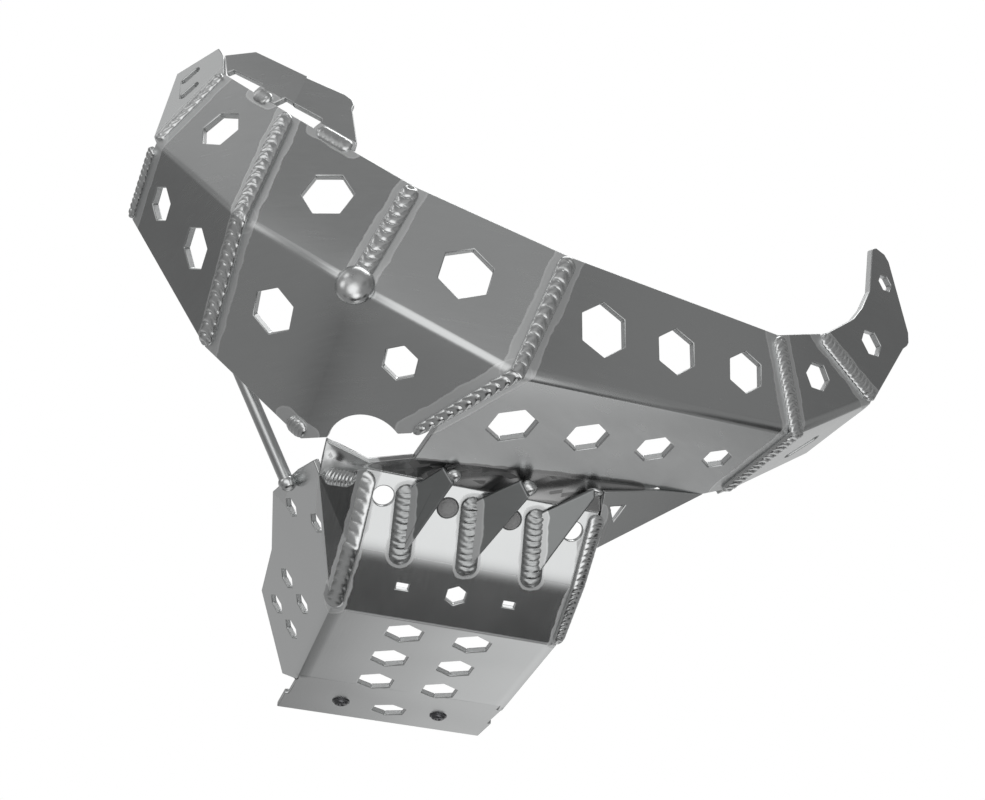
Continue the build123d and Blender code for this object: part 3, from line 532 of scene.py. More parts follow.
        # Painted shade: darkens the sheet in a band along each shaded line, such as the shelf under the
        # guard.
        for seam in shaded:
            colour = tree.mix(self.band(tree, seam)["Mask"], colour, opaque(PAINTED_SHADE))
        bands = [self.band(tree, seam) for seam in seams]
        if bands:
            mask = tree.largest([band["Mask"] for band in bands])
            rim = tree.largest([band["Rim"] for band in bands])
            frosted = tree.mix(mask, colour, opaque(HALO.colour))
            shine = tree.maths("MULTIPLY", rim, HALO.rim_share)
            colour = tree.mix(shine, frosted, opaque(HALO.rim_colour))
            rough = tree.towards(mask, rough, HALO.roughness)
        height = grain["Wave"]
        for fold in folds:
            given = {"Start": fold.line.start, "End": fold.line.end, "Reach": fold.reach, "Depth": fold.depth}
            roll = tree.add("ShaderNodeGroup", given, node_tree=self.roll).outputs
            height = tree.maths("ADD", height, roll["Height"])
        shape = tree.add("ShaderNodeBump", {"Height": height, "Strength": 1.0, "Distance": 1.0})
        bump = tree.add("ShaderNodeBump", {
            "Height": grain["Height"], "Strength": finish.grain_depth, "Distance": finish.grain_relief,
            "Normal": shape.outputs["Normal"],
        })
        self.coat(tree, colour, rough, bump)
        return material

    def dark(self, name: str, finish: DarkFinish) -> bpy.types.Material:
        """Makes black oxide or rubber with a rough skin.

        Args:
            name: Name of the material.
            finish: Colour, roughness and skin.

        Returns:
            The material.
        """
        material, tree = self.blank(name, finish.metallic)
        specks = tree.specks(tree.place(), finish.specks, self.dark_detail)
        light = tuple(min(1.0, finish.lighter * c) for c in finish.colour)
        colour = tree.mix(specks, opaque(finish.colour), opaque(light))
        matt, sway = finish.roughness, finish.sway
        rough = tree.ramp(specks, *self.dark_span, matt - sway, matt + sway)
        relief = {"Height": specks, "Strength": finish.depth, "Distance": finish.relief}
        self.coat(tree, colour, rough, tree.add("ShaderNodeBump", relief))
        return material


@dataclass
class TrayLayout:
    """Driving sizes of the tray, in millimetres and degrees, and its frame."""

    sheet: float = 4.0
    width: float = 160.0
    bottom_length: float = 116.5
    lip_pitch: float = 5.4
    screw_from_bend: float = 45.5
    lower_ramp: float = 50.0
    lower_angle: float = 29.5
    upper_ramp: float = 54.5
    upper_angle: float = 40.5
    pad_hole_up: float = 38.0
    pad_hole_pitch: float = 43.7
    pad_hole_radius: float = 7.0
    wing_flare: float = 36.0
    wing_fold: tuple = (-92.5, 54.0)

    def __post_init__(self) -> None:
        """Works out the tray's directions and corner points."""
        flare = math.radians(self.wing_flare)
        out = self.width / 2 + self.wing_fold[1] * math.sin(flare)
        self.fold = Vector((-out, self.wing_fold[0], self.wing_fold[1] * math.cos(flare)))
        pitch = math.radians(self.lip_pitch)
        self.back = Vector((0, math.cos(pitch), -math.sin(pitch)))
        self.up = Vector((0, math.sin(pitch), math.cos(pitch)))
        reach = self.bottom_length + self.screw_from_bend * math.cos(pitch)
        rise = self.screw_from_bend * math.sin(pitch)
        self.origin = Vector((0, 0, -self.sheet)) - self.back * reach - self.up * rise
        low, high = math.radians(self.lower_angle), math.radians(self.upper_angle)
        self.lower_climb = Vector((0, -math.cos(low), math.sin(low)))
        self.upper_climb = Vector((0, -math.cos(high), math.sin(high)))
        self.lower_face = Vector((0, -math.sin(low), -math.cos(low)))
        self.upper_face = Vector((0, -math.sin(high), -math.cos(high)))
        self.knee = self.lower_climb * self.lower_ramp
        self.crest = self.knee + self.upper_climb * self.upper_ramp

    def heading(self, way: Vector) -> Vector:
        """Direction of the tray's frame in the row frame."""
        return Vector((way.x, 0, 0)) + self.back * way.y + self.up * way.z

    def spot(self, point: Vector) -> Vector:
        """Point of the tray's frame, in millimetres, in the row frame, in metres."""
        return (self.origin + self.heading(point)) * MM

    def across(self, x: float, point: Vector) -> Vector:
        """Point of the middle section moved sideways."""
        return Vector((x, point.y, point.z))

    def both_edges(self, point: Vector) -> list[Vector]:
        """Point of the middle section moved to the tray's left and right edges."""
        return [self.across(side * self.width / 2, point) for side in SIDES]

    def seam(self, start: Vector, end: Vector, outward: Vector) -> Seam:
        """Seam given in the tray's frame."""
        return Seam(self.spot(start), self.spot(end), self.heading(outward).normalized())


@dataclass
class GuardLayout:
    """Driving sizes of the guard, in millimetres of the tray's frame and degrees, and its seams."""

    tray: TrayLayout
    ridge: tuple = (
        (-254, -137, 249), (-192, -184, 158.5), (-119, -200, 111.5),
        (-16, -199, 72.5), (191.5, -161.5, 102), (260.5, -155.5, 149.5),
    )
    upper_tilt: tuple = (-2.5, -9.0, -13.5, -17.5, -19.5)
    lower_tilt: tuple = (43.0, 59.5, 64.5, 82.5, 90.5)
    upper_depth: tuple = (66.5, 85.0, 80.5, 90.0, 68.0, 63.5)
    lower_depth: tuple = (61.5, 92.5, 112.0, 80.0, 72.0, 11.5)
    left_end_lean: tuple = (-6.5, -9.0)
    right_end_lean: float = -26.0
    flange_tack: tuple = (40.0, 60.0)
    flange_run: tuple = (23.0, 53.0)
    shelf_left: tuple = (-26.0, 94.0)
    shelf_right: tuple = (152.0, 80.0)
    oval_left: tuple = (75.0, 104.0)
    oval_right: tuple = (93.0, 107.0)

    def __post_init__(self) -> None:
        """Works out the faces, where they meet, and the seam from the ridge to each edge at every station."""
        points = [Vector(p) for p in self.ridge]
        runs = zip(points, points[1:], self.upper_tilt, self.lower_tilt)
        self.faces = [self.face(*run) for run in runs]
        first, last = self.faces[0], self.faces[-1]
        ways = [(self.leaned(first["upper"], first["along"], self.left_end_lean[0]),
                 self.leaned(first["lower"], first["along"], self.left_end_lean[1]))]
        for left, right in zip(self.faces, self.faces[1:]):
            ways.append((self.crossing(left["upper_out"], right["upper_out"], left["upper"]),
                         self.crossing(left["lower_out"], right["lower_out"], left["lower"])))
        ways.append((self.leaned(last["upper"], last["along"], self.right_end_lean), last["lower"]))
        self.points = points
        self.tops = [p + w[0] * d for p, w, d in zip(points, ways, self.upper_depth)]
        bottoms = [p + w[1] * d for p, w, d in zip(points, ways, self.lower_depth)]
        self.upper_seams = self.station_seams(self.tops, "upper_out")
        self.lower_seams = self.station_seams(bottoms, "lower_out")

    def face(self, start: Vector, end: Vector, upper_tilt: float, lower_tilt: float) -> dict[str, Vector]:
        """Directions of one panel: along the ridge, down each face, and outward from each.

        Args:
            start: Left end of the ridge.
            end: Right end of the ridge.
            upper_tilt: Lean of the upper face, in degrees.
            lower_tilt: Lean of the lower face, in degrees.

        Returns:
            Named directions.
        """
        along = (end - start).normalized()
        rise = (Vector((0, 0, 1)) - along * along.z).normalized()
        back = rise.cross(along)
        back = back if back.y > 0 else -back
        up, low = math.radians(upper_tilt), math.radians(lower_tilt)
        return {
            "along": along,
            "upper": rise * math.cos(up) + back * math.sin(up),
            "lower": back * math.sin(low) - rise * math.cos(low),
            "upper_out": rise * math.sin(up) - back * math.cos(up),
            "lower_out": -rise * math.sin(low) - back * math.cos(low),
        }

    def leaned(self, way: Vector, along: Vector, degrees: float) -> Vector:
        """Direction in a face, leaned along the ridge."""
        return way * math.cos(math.radians(degrees)) + along * math.sin(math.radians(degrees))

    def crossing(self, first: Vector, second: Vector, towards: Vector) -> Vector:
        """Direction of the line where two faces meet."""
        way = first.cross(second).normalized()
        return way if way.dot(towards) > 0 else -way

    def station_seams(self, ends: Sequence[Vector], half: str) -> list[Seam]:
        """Seams from the ridge to one edge of the guard, one at each station.

        Args:
            ends: Points on the edge.
            half: Name of the outward direction that the faces have there.

        Returns:
            The seams, from left to right.
        """
        ways = [face[half] for face in self.faces]
        sides = zip([ways[0]] + ways, ways + [ways[-1]])
        return [self.tray.seam(p, e, left + right) for p, e, (left, right) in zip(self.points, ends, sides)]

    def lower_run(self, number: int, start: tuple, end: tuple) -> Seam:
        """Lays a stretch on the lower face of a panel.

        Args:
            number: Which panel, from the left.
            start: Distances of its start along the ridge and away from it.
            end: Distances of its end.

        Returns:
            The stretch.
        """
        face = self.faces[number]
        ends = [self.points[number] + face["along"] * p[0] + face["lower"] * p[1] for p in (start, end)]
        return self.tray.seam(*ends, face["lower_out"])

    def shelf_line(self) -> Seam:
        """Fold between the right panel and its shelf."""
        return self.lower_run(3, self.shelf_left, self.shelf_right)

    def ridge_line(self, number: int) -> Seam:
        """Fold of a panel."""
        outward = self.faces[number]["upper_out"] + self.faces[number]["lower_out"]
        return self.tray.seam(self.points[number], self.points[number + 1], outward)

    def flange_seam(self, number: int, span: tuple) -> Seam:
        """Lays a tack along the flange's foot.

        Args:
            number: Station that the panel follows.
            span: Distances of its ends from that station.

        Returns:
            The tack.
        """
        foot = self.tops[number]
        along = (self.tops[number + 1] - foot).normalized()
        return self.tray.seam(foot + along * span[0], foot + along * span[1], self.faces[number]["upper_out"])


@dataclass
class GussetLayout:
    """Feet and tops of the three gussets on the ramp, in millimetres, and their frosted bands, in metres."""

    tray: TrayLayout
    sheet: float = 4.0
    foot_spacing: float = 45.8
    foot_shift: float = 2.5
    top_spacing: float = 44.5
    top_shift: float = -4.5
    top_up: float = 46.0
    foot_inset: float = -1.0
    top_inset: float = 3.0
    halo: float = 9.6 * MM

    def seam(self, index: int) -> Seam:
        """Lays the weld along the left side of a gusset's foot.

        Args:
            index: Which gusset, from the left.

        Returns:
            The weld.
        """
        step = index - 1
        tray = self.tray
        foot = tray.knee + tray.upper_climb * self.foot_inset
        top = tray.knee + tray.upper_climb * (self.top_up - self.top_inset)
        start = tray.across(self.foot_shift + step * self.foot_spacing - self.sheet / 2, foot)
        end = tray.across(self.top_shift + step * self.top_spacing - self.sheet / 2, top)
        return replace(tray.seam(start, end, tray.upper_face), halo=self.halo)


def add_piece(name: str, mesh: bpy.types.Mesh, node: str) -> bpy.types.Object:
    """Puts a finished mesh in the scene, riding on the part.

    Args:
        name: Name of the piece.
        mesh: Mesh in the row frame.
        node: CAD node that it stands for.

    Returns:
        The object.
    """
    piece = bpy.data.objects.new(name, mesh)
    bpy.context.scene.collection.objects.link(piece)
    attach(piece, BODY)
    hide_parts(node)
    LOG.info("%s: %d faces", name, len(mesh.polygons))
    return piece


def poured(shape: bmesh.types.BMesh, mesh: bpy.types.Mesh) -> bpy.types.Mesh:
    """Moves a shape into a mesh, with smooth faces.

    Args:
        shape: Shape, which is freed.
        mesh: Mesh that takes it.

    Returns:
        The mesh.
    """
    for face in shape.faces:
        face.smooth = True
    shape.to_mesh(mesh)
    shape.free()
    return mesh


def held(name: str, mesh: bpy.types.Mesh) -> bpy.types.Object:
    """Puts a mesh in the scene for its modifiers.

    Args:
        name: Name of the piece that is made.
        mesh: Mesh that goes in.

    Returns:
        Its object.
    """
    holder = bpy.data.objects.new(name + "_holder", mesh)
    bpy.context.scene.collection.objects.link(holder)
    return holder


def baked(holder: bpy.types.Object) -> bpy.types.Mesh:
    """Turns an object with modifiers into a plain mesh and removes the object.

    Args:
        holder: Object whose evaluated shape is wanted.

    Returns:
        The mesh.
    """
    graph = bpy.context.evaluated_depsgraph_get()
    mesh = bpy.data.meshes.new_from_object(holder.evaluated_get(graph), depsgraph=graph)
    bpy.data.objects.remove(holder)
    return mesh


def grown(name: str, start: bpy.types.Mesh, tree: Tree, values: dict[str, object]) -> bpy.types.Mesh:
    """Runs a Geometry Nodes tree on a mesh.

    Args:
        name: Name of the piece that is made.
        start: Mesh that goes in.
        tree: Helper around the tree.
        values: Values of the tree's named inputs.

    Returns:
        The mesh that comes out.
    """
    holder = held(name, start)
    modifier = holder.modifiers.new(tree.tree.name, "NODES")
    modifier.node_group = tree.tree
    for item in tree.tree.interface.items_tree:
        if item.in_out == "INPUT" and item.name in values:
            modifier[item.identifier] = values[item.name]
    return baked(holder)


@dataclass
class Sheet:
    """One cut and folded sheet, with deburred edges."""

    node: str
    slot: Slot
    finish: MetalFinish
    seams: list[Seam] = field(default_factory=list)
    folds: list[Fold] = field(default_factory=list)
    # Lines along which painted shade darkens the sheet.
    shaded: list[Seam] = field(default_factory=list)
    edge_round: float = 0.8 * MM
    edge_steps: int = 3
    edge_angle: float = math.radians(40)
    fold_angle: float = math.radians(10)
    blend_angle: float = math.radians(50)
    flat_angle: float = math.radians(0.3)
    merge: float = 0.001 * MM
    strip_width: float = 2.0 * MM
    stray: float = 0.5 * MM
    cut_width: float = 5.6 * MM

    def build(self, frame: dict, finishes: Finishes) -> bpy.types.Object:
        """Copies the CAD node, rounds its edges and dresses it.

        Args:
            frame: Loaded frame.
            finishes: Workshop for materials.

        Returns:
            The piece.
        """
        source = frame["nodes"][self.node].data
        finished = self.rounded(source)
        self.pull_in(source, finished)
        self.shade(finished)
        finished.materials.clear()
        metal = finishes.metal(self.node + "_metal", self.finish, self.seams, self.folds, self.shaded)
        finished.materials.append(metal)
        return add_piece(self.node + "_sheet", finished, self.node)

    def rounded(self, source: bpy.types.Mesh) -> bpy.types.Mesh:
        """Merges the CAD node's triangles into whole faces and rounds the edges between them.

        Args:
            source: Mesh of the CAD node.

        Returns:
            A new mesh.
        """
        shape = bmesh.new()
        shape.from_mesh(source)
        bmesh.ops.remove_doubles(shape, verts=shape.verts, dist=self.merge)
        bmesh.ops.dissolve_limit(
            shape, angle_limit=self.flat_angle, verts=shape.verts, edges=shape.edges, delimit=set()
        )
        for edge in shape.edges:
            edge.smooth = True
        holder = held(self.node, poured(shape, bpy.data.meshes.new(self.node + "_softened")))
        bevel = holder.modifiers.new("deburred edge", "BEVEL")
        bevel.width = self.edge_round
        bevel.segments = self.edge_steps
        bevel.limit_method = "ANGLE"
        bevel.angle_limit = self.edge_angle
        bevel.use_clamp_overlap = False
        return baked(holder)

    def pull_in(self, source: bpy.types.Mesh, mesh: bpy.types.Mesh) -> None:
        """Brings corners that the rounding threw off the sheet back onto it, and keeps them in its box.

        Args:
            source: Mesh of the CAD node.
            mesh: Rounded sheet, changed in place.
        """
        skin = BVHTree.FromPolygons([v.co for v in source.vertices], [p.vertices[:] for p in source.polygons])
        low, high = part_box(self.node)
        for vertex in mesh.vertices:
            place, _, _, gap = skin.find_nearest(vertex.co)
            spot = place if gap > self.stray else vertex.co
            vertex.co = [min(max(c, a), b) for c, a, b in zip(spot, low, high)]

    def shade(self, mesh: bpy.types.Mesh) -> None:
        """Marks the sawn faces, keeps flat faces flat and blends the strips of bends and edges between them.

        Args:
            mesh: Rounded sheet, changed in place.
        """
        corners = [vertex.co for vertex in mesh.vertices]
        around: dict[int, list] = {}
        flat = {}
        cut = mesh.attributes.new(SAWN.mark, "FLOAT", "FACE")
        for face in mesh.polygons:
            longest = max((corners[a] - corners[b]).length for a, b in face.edge_keys)
            flat[face.index] = face.area > self.strip_width * longest
            sawn = flat[face.index] and face.area < self.cut_width * longest
            cut.data[face.index].value = float(sawn)
            for index in face.vertices:
                around.setdefault(index, []).append(face)
        normals = [self.corner_normal(face, around[i], flat) for face in mesh.polygons for i in face.vertices]
        mesh.normals_split_custom_set(normals)

    def corner_normal(self, face: bpy.types.MeshPolygon, near: list, flat: dict[int, bool]) -> Vector:
        """Normal of a face at one of its corners.

        Args:
            face: The face.
            near: All faces at the corner.
            flat: Which faces are flat and which are strips.

        Returns:
            Unit vector.
        """
        lean = {other.index: other.normal.angle(face.normal, 0.0) for other in near}
        if flat[face.index]:
            mates = [f for f in near if flat[f.index] and lean[f.index] < self.fold_angle]
            return sum((f.normal * f.area for f in mates), Vector()).normalized()
        mates = [f for f in near if lean[f.index] < self.blend_angle]
        seats = [f for f in mates if flat[f.index]]
        if seats:
            return min(seats, key=lambda f: lean[f.index]).normal.copy()
        return sum((f.normal for f in mates), Vector()).normalized()


class BeadTree:
    """Geometry Nodes tree that sweeps a weld bead along a path and ripples its crown."""

    sizes = ("Step", "Pitch", "Half width", "Height", "Ripple", "Bow", "Lump", "Taper", "Seed")
    stored = ("run", "side", "crown", "outward")
    section_steps = 26
    slimmest = 0.05
    drift_scale = 90.0
    drift_share = 0.9
    lump_scale = 380.0
    crown_curve = 0.6

    def __init__(self) -> None:
        """Builds the tree once, for all beads."""
        inputs = {"Geometry": Socket.SHAPE}
        inputs.update({title: Socket.NUMBER for title in self.sizes})
        inputs["Material"] = Socket.MATERIAL
        self.tree, self.given = new_group(
            "rippled_bead", "GeometryNodeTree", inputs, {"Geometry": Socket.SHAPE}
        )
        self.finish(self.rippled(self.swept()))

    def kept(self, geometry: object, name: str, value: object) -> bpy.types.NodeSocket:
        """Stores a value on the points under a name."""
        inputs = {"Geometry": geometry, "Name": name, "Value": value}
        return self.tree.add("GeometryNodeStoreNamedAttribute", inputs, data_type="FLOAT").outputs[0]

    def named(self, name: str, kind: str = "FLOAT") -> bpy.types.NodeSocket:
        """Reads a stored value."""
        return self.tree.add("GeometryNodeInputNamedAttribute", {"Name": name}, data_type=kind).outputs[0]

    def here(self) -> bpy.types.NodeSocket:
        """Reads the place of each point."""
        return self.tree.add("GeometryNodeInputPosition").outputs[0]

    def specks(self, place: object, scale: float) -> bpy.types.NodeSocket:
        """Adds soft noise that differs from bead to bead by its seed."""
        inputs = {"W": self.given["Seed"], "Vector": place, "Scale": scale}
        return self.tree.add("ShaderNodeTexNoise", inputs, noise_dimensions="4D").outputs["Fac"]

    def round_off(self, share: object) -> bpy.types.NodeSocket:
        """Adds the height of a quarter circle at a share of its radius."""
        tree = self.tree
        return tree.maths("SQRT", tree.maths("SUBTRACT", 1.0, tree.maths("MULTIPLY", share, share)))

    def section(self) -> bpy.types.NodeSocket:
        """Makes the flat oval that is swept.

        Returns:
            The oval, with its crown and side stored on its points.
        """
        tree, given = self.tree, self.given
        inputs = {"Resolution": self.section_steps, "Radius": 1.0}
        ring = tree.add("GeometryNodeCurvePrimitiveCircle", inputs).outputs["Curve"]
        corner = tree.add("ShaderNodeSeparateXYZ", {0: self.here()}).outputs
        marked = self.kept(self.kept(ring, "crown", corner["X"]), "side", corner["Y"])
        size = tree.add("ShaderNodeCombineXYZ", {"X": given["Height"], "Y": given["Half width"], "Z": 1.0})
        return tree.add("GeometryNodeTransform", {"Geometry": marked, "Scale": size.outputs[0]}).outputs[0]

    def swept(self) -> bpy.types.NodeSocket:
        """Sweeps the oval along the path, with rounded ends.

        Returns:
            The plain bead, with its run, side and crown stored on its points.
        """
        tree, given = self.tree, self.given
        path = tree.add("GeometryNodeMeshToCurve", {"Mesh": given["Geometry"]}).outputs["Curve"]
        inputs = {"Curve": path, "Length": given["Step"]}
        laid = tree.add("GeometryNodeResampleCurve", inputs, mode="LENGTH").outputs["Curve"]
        run = tree.add("GeometryNodeSplineParameter").outputs["Length"]
        whole = tree.add("GeometryNodeSplineLength").outputs["Length"]
        inputs = {"Curve": self.kept(laid, "run", run), "Normal": self.named("outward", "FLOAT_VECTOR")}
        faced = tree.add("GeometryNodeSetCurveNormal", inputs, mode="FREE").outputs["Curve"]
        from_end = tree.maths("MINIMUM", run, tree.maths("SUBTRACT", whole, run))
        gone = tree.maths("SUBTRACT", 1.0, tree.maths("DIVIDE", from_end, given["Half width"]), clamp=True)
        thinned = tree.maths("MULTIPLY", tree.maths("DIVIDE", run, whole), given["Taper"])
        slim = tree.maths("MULTIPLY", self.round_off(gone), tree.maths("SUBTRACT", 1.0, thinned))
        inputs = {"Curve": faced, "Profile Curve": self.section(), "Fill Caps": True}
        inputs["Scale"] = tree.maths("MAXIMUM", slim, self.slimmest)
        return tree.add("GeometryNodeCurveToMesh", inputs).outputs["Mesh"]

    def rippled(self, plain: bpy.types.NodeSocket) -> bpy.types.NodeSocket:
        """Raises the crown in overlapping crescents.

        Args:
            plain: Swept bead.

        Returns:
            The rippled bead.
        """
        tree, given = self.tree, self.given
        place = self.here()
        run, side = self.named("run"), self.named("side")
        bow = tree.maths("MULTIPLY", tree.maths("MULTIPLY", side, side), given["Bow"])
        phase = tree.maths("ADD", tree.maths("DIVIDE", run, given["Pitch"]), bow)
        drift = tree.maths("MULTIPLY", self.specks(place, self.drift_scale), self.drift_share)
        phase = tree.maths("ADD", phase, drift)
        part = tree.maths("SUBTRACT", tree.maths("MULTIPLY", tree.maths("FRACT", phase), 2.0), 1.0)
        lump = tree.sway(self.specks(place, self.lump_scale), given["Lump"])
        lift = tree.maths("ADD", tree.maths("MULTIPLY", self.round_off(part), given["Ripple"]), lump)
        crown = tree.maths("POWER", tree.maths("MAXIMUM", self.named("crown"), 0.0), self.crown_curve)
        raised = tree.maths("MULTIPLY", lift, crown)
        offset = tree.scaled(self.named("outward", "FLOAT_VECTOR"), raised)
        return tree.add("GeometryNodeSetPosition", {"Geometry": plain, "Offset": offset}).outputs["Geometry"]

    def finish(self, skin: bpy.types.NodeSocket) -> None:
        """Clears the stored values and dresses the bead.

        Args:
            skin: Rippled bead.
        """
        tree = self.tree
        for name in self.stored:
            skin = tree.add("GeometryNodeRemoveAttribute", {"Geometry": skin, "Name": name}).outputs[0]
        smooth = tree.add("GeometryNodeSetShadeSmooth", {"Geometry": skin}).outputs["Geometry"]
        real = tree.add("GeometryNodeRealizeInstances", {"Geometry": smooth}).outputs["Geometry"]
        inputs = {"Geometry": real, "Material": self.given["Material"]}
        dressed = tree.add("GeometryNodeSetMaterial", inputs).outputs["Geometry"]
        tree.add("NodeGroupOutput", {"Geometry": dressed})


@dataclass
class Bead:
    """Weld bead along one or two seams, with a rippled crown."""

    node: str
    seams: list[Seam]
    half_width: float = 6.2 * MM
    pitch: float = 7.0 * MM
    height: float = 2.0 * MM
    ripple: float = 1.4 * MM
    bow: float = -0.75
    lump: float = 0.5 * MM
    taper: float = 0.0
    step: float = 0.5 * MM
    rise: float = 0.3 * MM
    inset: float = 1.5 * MM
    ball: float = 0.0
    ball_shares: tuple = (1.0, 1.08, 0.72)
    ball_steps: tuple = (40, 24)
    seed: int = 1
    # Whether the bead takes the darker weld metal with painted shade.
    shaded: bool = False

    def path(self) -> list[tuple[Vector, Vector]]:
        """Works out the bead's path.

        Returns:
            Points with the way each faces, from end to end.
        """
        if len(self.seams) == 1:
            seam = self.seams[0]
            legs = [(seam.start, seam.outward), (seam.end, seam.outward)]
        else:
            upper, lower = self.seams
            middle = (upper.outward + lower.outward).normalized()
            legs = [(upper.end, upper.outward), (upper.start, middle), (lower.end, lower.outward)]
        points = [point + way * self.rise for point, way in legs]
        points[0] = points[0] + (points[1] - points[0]).normalized() * self.inset
        points[-1] = points[-1] + (points[-2] - points[-1]).normalized() * self.inset
        return [(point, leg[1]) for point, leg in zip(points, legs)]

    def build(self, tree: BeadTree, material: bpy.types.Material) -> bpy.types.Object:
        """Lays the bead and dresses it.

        Args:
            tree: Geometry Nodes tree for beads.
            material: Weld metal.

        Returns:
            The piece.
        """
        name = self.node.replace("weld", "bead")
        path = self.path()
        line = bpy.data.meshes.new(name + "_path")
        line.from_pydata([p for p, _ in path], [(i, i + 1) for i in range(len(path) - 1)], [])
        outward = line.attributes.new("outward", "FLOAT_VECTOR", "POINT")
        for entry, (_, way) in zip(outward.data, path):
            entry.vector = way
        mesh = grown(name, line, tree.tree, {
            "Step": self.step,
            "Pitch": self.pitch,
            "Half width": self.half_width,
            "Height": self.height,
            "Ripple": self.ripple,
            "Bow": self.bow,
            "Lump": self.lump,
            "Taper": self.taper,
            "Seed": float(self.seed),
            "Material": material,
        })
        if self.ball:
            self.add_ball(mesh, self.seams[0])
        return add_piece(name, mesh, self.node)

    def add_ball(self, mesh: bpy.types.Mesh, seam: Seam) -> None:
        """Adds the blob where the bead was started, on the ridge.

        Args:
            mesh: Finished bead, changed in place.
            seam: Seam whose start carries the blob.
        """
        shape = bmesh.new()
        shape.from_mesh(mesh)
        along = (seam.end - seam.start).normalized()
        side = along.cross(seam.outward).normalized()
        turn = Matrix((side, along, seam.outward)).transposed().to_4x4()
        size = Matrix.Diagonal((*(share * self.ball for share in self.ball_shares), 1.0))
        place = Matrix.Translation(seam.start) @ turn @ size
        round_steps, high_steps = self.ball_steps
        bmesh.ops.create_uvsphere(
            shape, u_segments=round_steps, v_segments=high_steps, radius=1.0, matrix=place
        )
        poured(shape, mesh)


@dataclass
class Blob:
    """Lump of weld metal that fills the place of its CAD node."""

    node: str
    seed: int
    swell: float = 0.94
    lumps: float = 1.6 * MM
    lump_scale: float = 140.0
    fineness: int = 5

    def build(self, material: bpy.types.Material) -> bpy.types.Object:
        """Makes an uneven ellipsoid in the node's box.

        Args:
            material: Weld metal.

        Returns:
            The piece.
        """
        low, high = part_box(self.node)
        centre = (Vector(low) + Vector(high)) / 2
        half = (Vector(high) - Vector(low)) / 2 * self.swell
        place = Matrix.Translation(centre) @ Matrix.Diagonal((*half, 1.0))
        shape = bmesh.new()
        bmesh.ops.create_icosphere(shape, subdivisions=self.fineness, radius=1.0, matrix=place)
        drift = Vector((self.seed, 0.0, 0.0))
        for vert in shape.verts:
            push = noise.noise(vert.co * self.lump_scale + drift)
            vert.co += (centre - vert.co).normalized() * self.lumps * (0.5 + 0.5 * push)
        mesh = poured(shape, bpy.data.meshes.new(self.node + "_blob"))
        mesh.materials.append(material)
        return add_piece(self.node.replace("weld", "blob"), mesh, self.node)


class Lathe:
    """Turned meshes about the local Z axis."""

    least_radius = 1e-9

    def __init__(self, segments: int) -> None:
        """Starts an empty mesh.

        Args:
            segments: Steps round the axis.
        """
        self.segments = segments
        self.shape = bmesh.new()

    def ring(self, radius: float, height: float, place: Matrix) -> list[bmesh.types.BMVert]:
        """Adds the corners at one height.

        Args:
            radius: Distance from the axis.
            height: Height along the axis.
            place: Where the shape goes.

        Returns:
            The corners, or a single one on the axis.
        """
        if radius < self.least_radius:
            return [self.shape.verts.new(place @ Vector((0, 0, height)))]
        corners = []
        for step in range(self.segments):
            angle = 2 * math.pi * step / self.segments
            corner = Vector((radius * math.cos(angle), radius * math.sin(angle), height))
            corners.append(self.shape.verts.new(place @ corner))
        return corners

    def turn(self, profile: Sequence[tuple[float, float]], place: Matrix) -> None:
        """Adds a closed turned shape.

        Args:
            profile: Radius and height pairs, from one end of the axis to the other.
            place: Where the shape goes.
        """
        rings = [self.ring(radius, height, place) for radius, height in profile]
        for low, high in zip(rings, rings[1:]):
            for step in range(self.segments):
                after = (step + 1) % self.segments
                corners = [low[step % len(low)], low[after % len(low)]]
                corners += [high[after % len(high)], high[step % len(high)]]
                unique = list(dict.fromkeys(corners))
                if len(unique) > 2:
                    self.shape.faces.new(unique)

    def finished(self, name: str, material: bpy.types.Material) -> bpy.types.Mesh:
        """Turns the faces outwards and dresses the mesh.

        Args:
            name: Name of the mesh.
            material: What it is made of.

        Returns:
            The mesh.
        """
        bmesh.ops.recalc_face_normals(self.shape, faces=self.shape.faces)
        mesh = poured(self.shape, bpy.data.meshes.new(name))
        mesh.materials.append(material)
        return mesh


